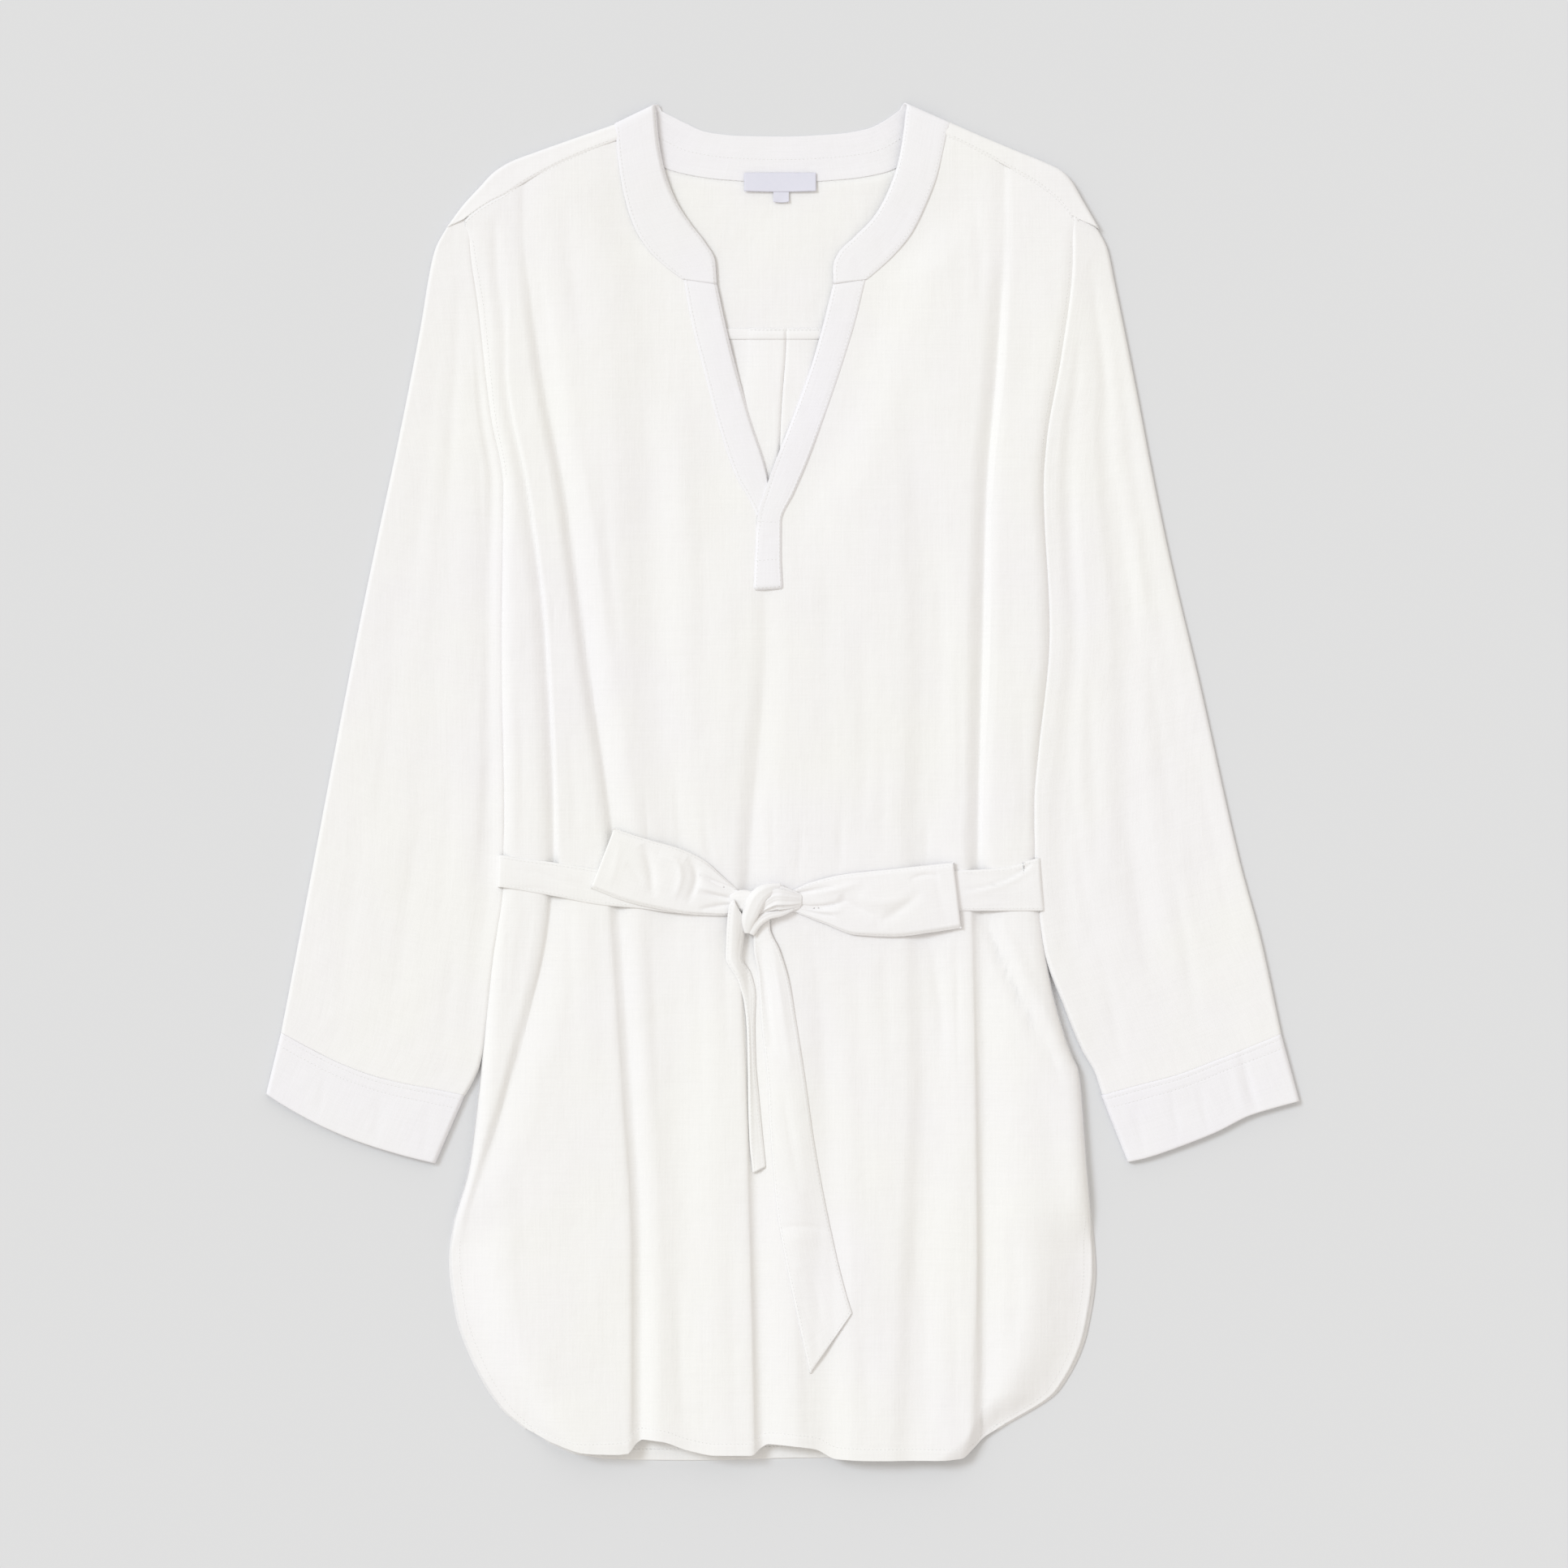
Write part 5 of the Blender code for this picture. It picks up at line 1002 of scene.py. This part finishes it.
def belt_front_grid(side):
    """A stretch of belt from the knot, over the front and round the side of the body."""
    sections, edge_table = (BELT_LEFT, LEFT_EDGE) if side == "left" else (BELT_RIGHT, RIGHT_EDGE)
    outwards = -1 if side == "left" else 1
    rows = trace([(x, up, x, low) for x, up, low in sections], 110)
    edge = sections[-1][0]
    flat = rows[(edge - rows[:, 0]) * outwards > -BELT_TURN[0][0]]
    turn = trace([(out, height, 0) for out, height in BELT_TURN], 40)
    over = [np.column_stack([0 * EDGED + x, up + (low - up) * EDGED, 0 * EDGED + BELT_TURN[0][1]])
            for x, up, _, low in flat]
    for out, height, _ in turn:
        up, low = (np.interp(out, (rows[::-1, 0] - edge)[::-1] * outwards, rows[:, side_of_belt])
                   for side_of_belt in (1, 3))
        down = up + (low - up) * EDGED
        over.append(np.column_stack([table(edge_table, down) + outwards * out, down, 0 * EDGED + height]))
    grid = np.array(over)
    shown = ease(grid[..., 2], 6, BELT_TURN[0][1])
    grid[..., 2] += (crease_height(grid, BELT_CREASES) + 0.5 * np.sin(np.pi * EDGED)
                     - 0.12 * np.exp(-((np.minimum(EDGED, 1 - EDGED) - 0.11) / 0.03) ** 2)
                     - 0.5 * (1 - ease(np.minimum(EDGED, 1 - EDGED), 0, 0.06))) * shown
    return grid


def belt_back_grid():
    """The stretch of belt behind the body."""
    rows = trace([(x, up, x, low) for x, up, low in BELT_BACK], 60)
    grid = rows[:, None, :2] + (rows[:, None, 2:4] - rows[:, None, :2]) * EDGED[None, :, None]
    return np.concatenate([grid, np.zeros((*grid.shape[:2], 1))], axis=-1)


FINE = denser(EDGED, 2)
STRAND_SQUARENESS = 2.2  # 2 is an ellipse


def loop_grid(sections):
    """A bow loop: out along the lower layer, round the fold, and back along the upper one."""
    rows = trace(sections, LOOP_ROWS)
    half_turn = np.linspace(-np.pi / 2, np.pi / 2, LOOP_TURN_ROWS)
    radius = (LOOP_CROWN - LOOP_FLOOR) / 2
    outwards = rows[-1] - rows[-2]
    outwards = np.tile(outwards[:2] / np.linalg.norm(outwards[:2]), 2)
    rise = LOOP_CROWN - 1.0 * (1 - ease(np.linspace(0, 8, LOOP_ROWS), 0, 5))
    lower = [(*row, LOOP_FLOOR) for row in rows]
    round_it = [(*(rows[-1] + outwards * radius * np.cos(a)), LOOP_FLOOR + radius * (1 + np.sin(a)))
                for a in half_turn[1:-1]]
    upper = [(*row, height) for row, height in zip(rows[::-1], rise[::-1])]
    path = np.array(lower + round_it + upper)
    t = FINE[None, :, None]
    flat = path[:, None, :2] + (path[:, None, 2:4] - path[:, None, :2]) * t
    level = np.repeat(path[:, None, 4:], len(FINE), axis=1)
    grid = np.concatenate([flat, level], axis=-1)
    shown = ease(grid[..., 2], LOOP_FLOOR + radius, LOOP_CROWN - 1.0)
    curl = LOOP_CURL * (1 - ease(np.minimum(FINE, 1 - FINE), 0, 0.06))
    swell = LOOP_SWELL * np.sin(np.pi * FINE) ** 0.8 * ease(np.abs(path[:, 0, None] + 12), 16, 60)
    grid[..., 2] += (crease_height(grid, LOOP_CREASES) - curl + swell) * shown
    return grid


def strand(path, creases):
    """A gathered strand: an oval tube along a path in plan steps, creased along its length.

    Each row of the path is the middle's place, its height, half width and half height. The section's
    radius is 1 + sum of depth * (1 - 2 * abs(sin((n * angle + phase + twist * length) / 2))) over
    the creases, which gives them sharp crests and round floors.
    """
    path = np.asarray(path, float)
    at = np.linspace(0, 1, len(path))
    fine = np.linspace(0, 1, 48)
    x, y, z, half, high = (smooth(fine, at, column) for column in path.T)
    centre = np.column_stack([(x - MIDDLE[0]) * STEP, (MIDDLE[1] - y) * STEP, z])
    ahead = np.gradient(centre, axis=0)
    ahead /= np.linalg.norm(ahead, axis=1)[:, None]
    side = np.cross(ahead, (0, 0, 1.0))
    side /= np.linalg.norm(side, axis=1)[:, None]
    up = np.cross(side, ahead)
    angle = np.linspace(0, 2 * np.pi, 97)[:-1]
    radius = np.ones((48, 96))
    shown = np.sin(np.pi * np.clip(fine * 1.1, 0, 1))[:, None] ** 0.4
    for depth, waves, phase, twist in creases:
        turn = (waves * angle + phase + twist * fine[:, None]) / 2
        radius += depth * (1 - np.abs(np.sin(turn)) * 2) * shown
    power = 2 / STRAND_SQUARENESS
    across = np.sign(np.cos(angle)) * np.abs(np.cos(angle)) ** power
    above = np.sign(np.sin(angle)) * np.abs(np.sin(angle)) ** power
    return (centre[:, None] + side[:, None] * (across * radius * half[:, None] * STEP)[..., None]
            + up[:, None] * (above * radius * high[:, None])[..., None])


KNOT_STRANDS = (
    # The turn behind, between the two loops
    (((900, 1111, 10.6, 8, 2.0), (914, 1109, 11.2, 13, 2.6), (930, 1112, 11.4, 14, 3.0),
      (956, 1112, 11.2, 13, 3.0), (974, 1112, 10.6, 11, 2.3), (985, 1111, 9.7, 8, 1.3)),
     ((0.05, 7, 0.4, 2.0), (0.03, 12, 1.3, -1.5))),
    # The lower fold, from the right, to the tails
    (((977, 1118, 10.8, 4, 1.5), (962, 1124, 11.8, 5, 2.0), (948, 1127, 12.2, 5.5, 2.3),
      (934, 1136, 11.8, 6, 2.3), (925, 1150, 10.4, 5, 1.8)), ((0.07, 5, 0.4, 1.0), (0.05, 9, 1.3, 0.5))),
    # The gathered cloth, drawn together towards the left
    (((988, 1109, 9.9, 7, 1.2), (972, 1108, 12.2, 11.5, 2.4), (958, 1107, 13.4, 14, 3.0),
      (947, 1112, 13.4, 11, 2.9), (938, 1120, 12.2, 6, 2.2), (932, 1128, 10.8, 3, 1.4)),
     ((0.17, 9, 0.3, 0.3), (0.07, 15, 0.8, 0.2))),
    # The smooth wrap, from the top, round and down
    (((962, 1092, 11.6, 4, 1.6), (950, 1095, 13.4, 7, 2.6), (939, 1101, 14.6, 10, 3.3),
      (931, 1111, 14.9, 11, 3.5), (926, 1123, 14.2, 10.5, 3.3), (922, 1136, 12.6, 8, 2.7),
      (921, 1149, 10.6, 4, 1.7)), ((0.035, 5, 0.3, 0.6), (0.02, 9, 0.8, 0.9))),
)


def on_the_front(grid, over, sag):
    """Heights so far over the front at a grid's places, sunk into its folds no further than told."""
    level = loft(grid[..., 1])
    return np.maximum(front_surface(grid[..., 0], grid[..., 1])[..., 2], level - sag) + over


def tail_grids():
    """The long tail, spread flat over the skirt, and the short one, folded along its length."""
    rows = trace(TAIL_LONG, 240)
    long_tail = band_across(rows, 0 * rows[:, 0], EDGED, 0.6, (0.75, 0.75))
    root = 1.5 * (1 - ease(np.arange(240), 0, 60))[:, None]
    long_tail[..., 2] += on_the_front(long_tail, 1.1, 2.2) + root + crease_height(long_tail, TAIL_CREASES)
    rows = trace([(*row, height) for row, height in zip(TAIL_SHORT, SHORT_TAIL_RISE)], 160)
    short = band_across(rows[:, :4], rows[:, 4], EDGED, 0.0)
    from_crest = np.abs((EDGED - 0.3) / np.where(EDGED < 0.3, 0.3, 0.7))
    short[..., 2] += on_the_front(short, 0, 4.0) + SHORT_TAIL_CREST * (1 - from_crest ** 1.4)
    return long_tail, short


def label_grid(x_from, x_to, y_from, y_to, curl):
    """A small woven label that lies almost flat, with its lower edge a little raised."""
    x, y = np.meshgrid(np.linspace(x_from, x_to, 60), np.linspace(y_from, y_to, 16))
    t = (y - y_from) / (y_to - y_from)
    across = (x - x_from) / (x_to - x_from)
    z = LABEL_TOP + curl * (1 - t) ** 2 * (0.6 + 0.4 * np.cos(2 * np.pi * across))
    sag = 0.6 * np.sin(np.pi * across)
    return np.stack([x, y - sag * (1 - t), z], axis=-1)


def line_on(grid, share, axis=1):
    """A line across a grid at a share of its width or length."""
    lines = np.moveaxis(grid, axis, 0)
    at = share * (len(lines) - 1)
    low = int(np.clip(np.floor(at), 0, len(lines) - 2))
    return lines[low] + (lines[low + 1] - lines[low]) * (at - low)


def line_inside(grid, distance, last=False, axis=1):
    """A line that runs so far inside a grid's first or last edge."""
    lines = np.moveaxis(grid, axis, 0)
    lines = lines[::-1] if last else lines
    run = np.concatenate([np.zeros((1, lines.shape[1])),
                          np.cumsum(np.linalg.norm(np.diff(lines, axis=0), axis=-1), axis=0)])
    after = (run < distance).sum(axis=0).clip(1, len(lines) - 1)
    pick = np.arange(lines.shape[1])
    before = run[after - 1, pick]
    part = (distance - before) / (run[after, pick] - before)
    return lines[after - 1, pick] + (lines[after, pick] - lines[after - 1, pick]) * part[:, None]


def stitch_points(line, length):
    """A stitch's middle and direction at even steps along a line of points."""
    keep = np.concatenate([[True], np.linalg.norm(np.diff(line, axis=0), axis=1) > 1e-4])
    line = line[keep]
    run = np.concatenate([[0], np.cumsum(np.linalg.norm(np.diff(line, axis=0), axis=1))])
    count = int(run[-1] / length)
    ends = [np.stack([np.interp(np.arange(count) * length + at, run, line[:, k]) for k in range(3)], axis=1)
            for at in (0.12 * length, 0.86 * length)]
    return (ends[0] + ends[1]) / 2, ends[1] - ends[0]


def add_stitches(name, lines, thread=0.42):
    """Rows of stitches as one mesh. Each is a lozenge of nine faces, humped in the middle."""
    length = bpy.context.scene.blouse.stitch / MM
    middles, along = (np.concatenate(part) for part in zip(*(stitch_points(line, length) for line in lines)))
    size = np.linalg.norm(along, axis=1)[:, None]
    along = along / size
    side = np.cross(along, (0, 0, 1.0))
    side /= np.linalg.norm(side, axis=1)[:, None]
    up = np.cross(side, along)
    up *= np.sign(up[:, 2:3])
    ring = np.array([(-0.5, 0, -0.35), (-0.18, 0.5, -0.1), (-0.18, 0, 0.55), (-0.18, -0.5, -0.1),
                     (0.18, 0.5, -0.1), (0.18, 0, 0.55), (0.18, -0.5, -0.1), (0.5, 0, -0.35)])
    faces = np.array([(0, 1, 2, 2), (0, 2, 3, 3), (0, 3, 1, 1), (1, 4, 5, 2), (2, 5, 6, 3), (3, 6, 4, 1),
                      (7, 5, 4, 4), (7, 6, 5, 5), (7, 4, 6, 6)])
    points = (middles[:, None] + ring[None, :, :1] * (along * size)[:, None]
              + ring[None, :, 1:2] * side[:, None] * thread + ring[None, :, 2:] * up[:, None] * thread)
    faces = (faces[None] + 8 * np.arange(len(middles))[:, None, None]).reshape(-1, 4)
    mesh = bpy.data.meshes.new(name)
    mesh.from_pydata((points.reshape(-1, 3) * MM).tolist(), [],
                     [tuple(dict.fromkeys(face)) for face in faces.tolist()])
    shape = bmesh.new()
    shape.from_mesh(mesh)
    bmesh.ops.recalc_face_normals(shape, faces=shape.faces)
    shape.to_mesh(mesh)
    shape.free()
    piece = bpy.data.objects.new(name, mesh)
    return settle(piece, thread_material(), None)


class BLOUSE_OT_front(bpy.types.Operator):
    """Makes the front, with its folds, darts, creases and turned hem."""

    bl_idname = "blouse.front"
    bl_label = "Front"
    bl_options = {"REGISTER"}

    def execute(self, context):
        left, right = front_grids()
        add_cloth("front_cloth", [left[::-1], right], single_linen(), "front_panel",
                  maps=[left[::-1][..., :2] * MM, right[..., :2] * MM])
        lines = [line_inside(half, HEM_STITCH, True, 0) for half in (left, right)]
        lines += [line_inside(half[half[:, 0, 1] < top], 6.0) for half, top in ((left, -292), (right, -280))]
        lines += [line_inside(half[(half[:, 0, 1] > 195) & (half[:, 0, 1] < 352)], 7.0)
                  for half in (left, right)]
        lines += [line_inside(half, 2.2, axis=0) for half in (left, right)]
        add_stitches("front_stitches", lines)
        return {"FINISHED"}


class BLOUSE_OT_back(bpy.types.Operator):
    """Makes the back and the yoke."""

    bl_idname = "blouse.back"
    bl_label = "Back and yoke"
    bl_options = {"REGISTER"}

    def execute(self, context):
        grid = back_grid()
        add_cloth("back_cloth", [grid], single_linen(), "back_panel", maps=[grid[..., :2] * MM],
                  thickness=THIN)
        hem = line_inside(grid, HEM_STITCH, True, 0) + (0, 0, 0.95)
        serged = grid[0] + (0, 0.6, SEAM_TOP)
        run = np.linspace(serged[0, 0], serged[-1, 0], ZIGZAGS)
        swing = 1.3 * (np.arange(ZIGZAGS) % 2 * 2 - 1)
        zigzag = np.stack([run, np.interp(run, serged[:, 0], serged[:, 1]) + swing,
                           np.interp(run, serged[:, 0], serged[:, 2])], axis=1)
        section = np.array([(0, -3.6, -0.4), (0, -3.0, -0.15), (0, -2, 0), (0, 0, 0.05), (0, 2, 0),
                            (0, 3.0, -0.15), (0, 3.6, -0.4)])
        fold = serged[:, None] - (0, 0, 0.15) + section
        fold[..., 2] -= np.array([0, 0, 0, 0, 0.3, 0.8, 1.0]) * (serged[:, 2:] - SEAM_TOP)
        add_cloth("yoke_seam", [fold], single_linen(), thickness=SEAM_SHELL)
        add_stitches("back_stitches", [hem, zigzag, serged + (0, -2.4, 0), serged + (0, 2.4, 0)])
        plate, left, right = yoke_grids()
        parts = [plate[::-1], left[::-1], right[::-1, ::-1]]
        add_cloth("yoke_cloth", parts, single_linen(), "back_yoke",
                  maps=[part[..., :2] * MM for part in parts], thickness=FINER)
        neckline = line_inside(plate, 2.0, True, 0)
        middle = (neckline[:, 0] > -88) & (neckline[:, 0] < 84)
        seams = [line_inside(flap[:, :-4], 2.0, True, 0) for flap in (left, right)]
        add_stitches("yoke_stitches", [neckline[middle] + (0, 0, 0.85), *seams])
        return {"FINISHED"}


class BLOUSE_OT_sleeves(bpy.types.Operator):
    """Makes both sleeves and their cuffs."""

    bl_idname = "blouse.sleeves"
    bl_label = "Sleeves and cuffs"
    bl_options = {"REGISTER"}

    def execute(self, context):
        for side in ("left", "right"):
            sleeve, cuff = sleeve_grid(side), cuff_grid(side)
            turn = slice(None, None, -1 if side == "left" else 1)
            for part, grid, linen in (("sleeve", sleeve, single_linen()), ("cuff", cuff, double_linen())):
                add_cloth(f"{part}_{side}_cloth", [grid[turn]], linen, f"{part}_{side}", wrapped=True)
            top = cuff[:, 3:(cuff.shape[1] + 2) // 2 - 3]
            add_stitches(f"cuff_{side}_stitches", [line_on(top, share, 0) for share in (0.07, 0.20)])
        return {"FINISHED"}


class BLOUSE_OT_neck(bpy.types.Operator):
    """Makes the neck band, the plackets and the labels."""

    bl_idname = "blouse.neck"
    bl_label = "Neck"
    bl_options = {"REGISTER"}

    def execute(self, context):
        band = neck_band_grid()
        under, over = placket_grid(PLACKET_UNDER, False), placket_grid(PLACKET_OVER, True)
        for name, grid in (("neck_band", band), ("placket_under", under), ("placket_over", over)):
            add_cloth(f"{name}_cloth", [grid], double_linen(), name, thickness=THIN)
        lines = [line_inside(part, BAND_STITCH, last) for part in (band[:92], band[-92:], under, over)
                 for last in (False, True)]
        back = line_on(band[98:-98], 0.5) + (0, 0, 0.9)
        box = over[::-1]
        box = box[box[:, :, 1].mean(axis=1) < 170]
        lines += [box[0], line_inside(box, 2.2, True, 0), line_inside(box, 20.0, True, 0)]
        add_stitches("neck_stitches", [*lines, back])
        for name, sides, curl in (("neck_label", NECK_LABEL, 0.7), ("size_tab", SIZE_TAB, 0.5)):
            add_cloth(f"{name}_cloth", [label_grid(*sides, curl)], satin_material(), name,
                      thickness=LABEL_SHELL)
        return {"FINISHED"}


class BLOUSE_OT_belt(bpy.types.Operator):
    """Makes the belt: its stretches round the waist, the bow, the knot and the tails."""

    bl_idname = "blouse.belt"
    bl_label = "Belt and bow"
    bl_options = {"REGISTER"}

    def execute(self, context):
        left, right = belt_front_grid("left"), belt_front_grid("right")
        loop_left, loop_right = loop_grid(LOOP_LEFT), loop_grid(LOOP_RIGHT)
        long_tail, short_tail = tail_grids()
        for name, grid, node, thickness in (
                ("belt_left", left[::-1], "belt_front_left", FINER),
                ("belt_right", right, "belt_front_right", FINER),
                ("belt_back", belt_back_grid()[::-1], "belt_back", THIN),
                ("loop_left", loop_left, "bow_loop_left", FINER),
                ("loop_right", loop_right[::-1], "bow_loop_right", FINER),
                ("tail_long", long_tail[::-1], "belt_tail_long", FINER),
                ("tail_short", short_tail[::-1], "belt_tail_short", FINER)):
            add_cloth(f"{name}_cloth", [grid], single_linen(), node, thickness=thickness)
        upper = slice(LOOP_ROWS + LOOP_TURN_ROWS, None)
        lines = [line_inside(grid, BELT_STITCH, last)
                 for grid in (left[left[:, 0, 2] > 6], right[right[:, 0, 2] > 6], long_tail, short_tail,
                              loop_left[upper], loop_right[upper])
                 for last in (False, True)]
        lines += [line_inside(long_tail, 2.2, True, 0)]
        add_stitches("belt_stitches", lines, 0.34)
        self.make_knot(single_linen())
        return {"FINISHED"}

    def make_knot(self, linen):
        """Adds the knot: gathered strands, each closed at both ends."""
        points, faces, count = [], [], 0
        for path, creases in KNOT_STRANDS:
            grid = strand(path, creases)
            rows, columns = grid.shape[:2]
            points.append(grid.reshape(-1, 3))
            faces += grid_faces(rows, columns, count, True)[:, ::-1].tolist()
            last = count + (rows - 1) * columns
            faces += [list(range(count, count + columns)), list(range(last, last + columns))[::-1]]
            count += rows * columns
        points = np.concatenate(points)
        mesh = bpy.data.meshes.new("knot_cloth")
        mesh.from_pydata((points * MM).tolist(), [], faces)
        layer = mesh.uv_layers.new(name="weave")
        order = np.zeros(len(mesh.loops), np.int32)
        mesh.loops.foreach_get("vertex_index", order)
        layer.data.foreach_set("uv", (points[:, :2] * MM)[order].ravel())
        settle(bpy.data.objects.new("knot_cloth", mesh), linen, "belt_knot")


class BLOUSE_OT_stage(bpy.types.Operator):
    """Makes the floor, the light and the camera."""

    bl_idname = "blouse.stage"
    bl_label = "Stage"
    bl_options = {"REGISTER"}

    def execute(self, context):
        settings = context.scene.blouse_stage
        mesh = bpy.data.meshes.new("floor")
        corners = [(x * FLOOR_HALF, y * FLOOR_HALF, 0) for x, y in ((-1, -1), (1, -1), (1, 1), (-1, 1))]
        mesh.from_pydata(corners, [], [(0, 1, 2, 3)])
        floor = bpy.data.objects.new("floor", mesh)
        context.scene.collection.objects.link(floor)
        material, _, _, shader = nodes_of("pale floor")
        shader.inputs["Base Color"].default_value = (*settings.floor, 1.0)
        shader.inputs["Roughness"].default_value = 0.95
        shader.inputs["Specular IOR Level"].default_value = 0.1
        mesh.materials.append(material)
        key = bpy.data.lights.new("key", "SUN")
        key.energy = settings.key
        key.angle = np.radians(KEY_SPREAD)
        key.color = settings.key_colour
        lamp = bpy.data.objects.new("key", key)
        lamp.rotation_euler = np.radians(KEY_TURN)
        context.scene.collection.objects.link(lamp)
        world = bpy.data.worlds.new("studio")
        world.use_nodes = True
        sky = world.node_tree.nodes["Background"]
        sky.inputs["Color"].default_value = (*settings.fill_colour, 1.0)
        sky.inputs["Strength"].default_value = settings.fill
        context.scene.world = world
        context.scene.view_settings.view_transform = "Standard"
        camera = bpy.data.objects.new("camera", bpy.data.cameras.new("camera"))
        height, view = settings.camera_height, PLAN_SIZE * STEP * MM
        camera.data.sensor_width = SENSOR
        camera.data.lens = SENSOR * (height - SHOULDER_HEIGHT * MM) / view
        camera.data.clip_end = 50
        camera.location = (0, (MIDDLE[1] - PLAN_SIZE / 2) * STEP * MM, height)
        context.scene.collection.objects.link(camera)
        context.scene.camera = camera
        return {"FINISHED"}


class BLOUSE_PT_panel(bpy.types.Panel):
    """Lists the blouse's settings and steps."""

    bl_label = "Linen tunic blouse"
    bl_space_type = "VIEW_3D"
    bl_region_type = "UI"
    bl_category = "Blouse"

    def draw(self, context):
        for group in (context.scene.blouse, context.scene.blouse_stage):
            for key in group.bl_rna.properties.keys():
                if key not in ("rna_type", "name"):
                    self.layout.prop(group, key)
        for step in STEPS:
            self.layout.operator(step.bl_idname)


STEPS = (BLOUSE_OT_back, BLOUSE_OT_front, BLOUSE_OT_sleeves, BLOUSE_OT_neck, BLOUSE_OT_belt, BLOUSE_OT_stage)
CLASSES = (BlouseSettings, StageSettings, *STEPS, BLOUSE_PT_panel)


def register():
    """Makes the add-on's classes and settings known."""
    for item in CLASSES:
        bpy.utils.register_class(item)
    bpy.types.Scene.blouse = bpy.props.PointerProperty(type=BlouseSettings)
    bpy.types.Scene.blouse_stage = bpy.props.PointerProperty(type=StageSettings)


def unregister():
    """Takes the add-on's classes and settings away again."""
    del bpy.types.Scene.blouse_stage
    del bpy.types.Scene.blouse
    for item in reversed(CLASSES):
        bpy.utils.unregister_class(item)


def main():
    """Registers the add-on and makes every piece."""
    register()
    for step in STEPS:
        group, name = step.bl_idname.split(".")
        getattr(getattr(bpy.ops, group), name)()


if __name__ == "__main__":
    main()
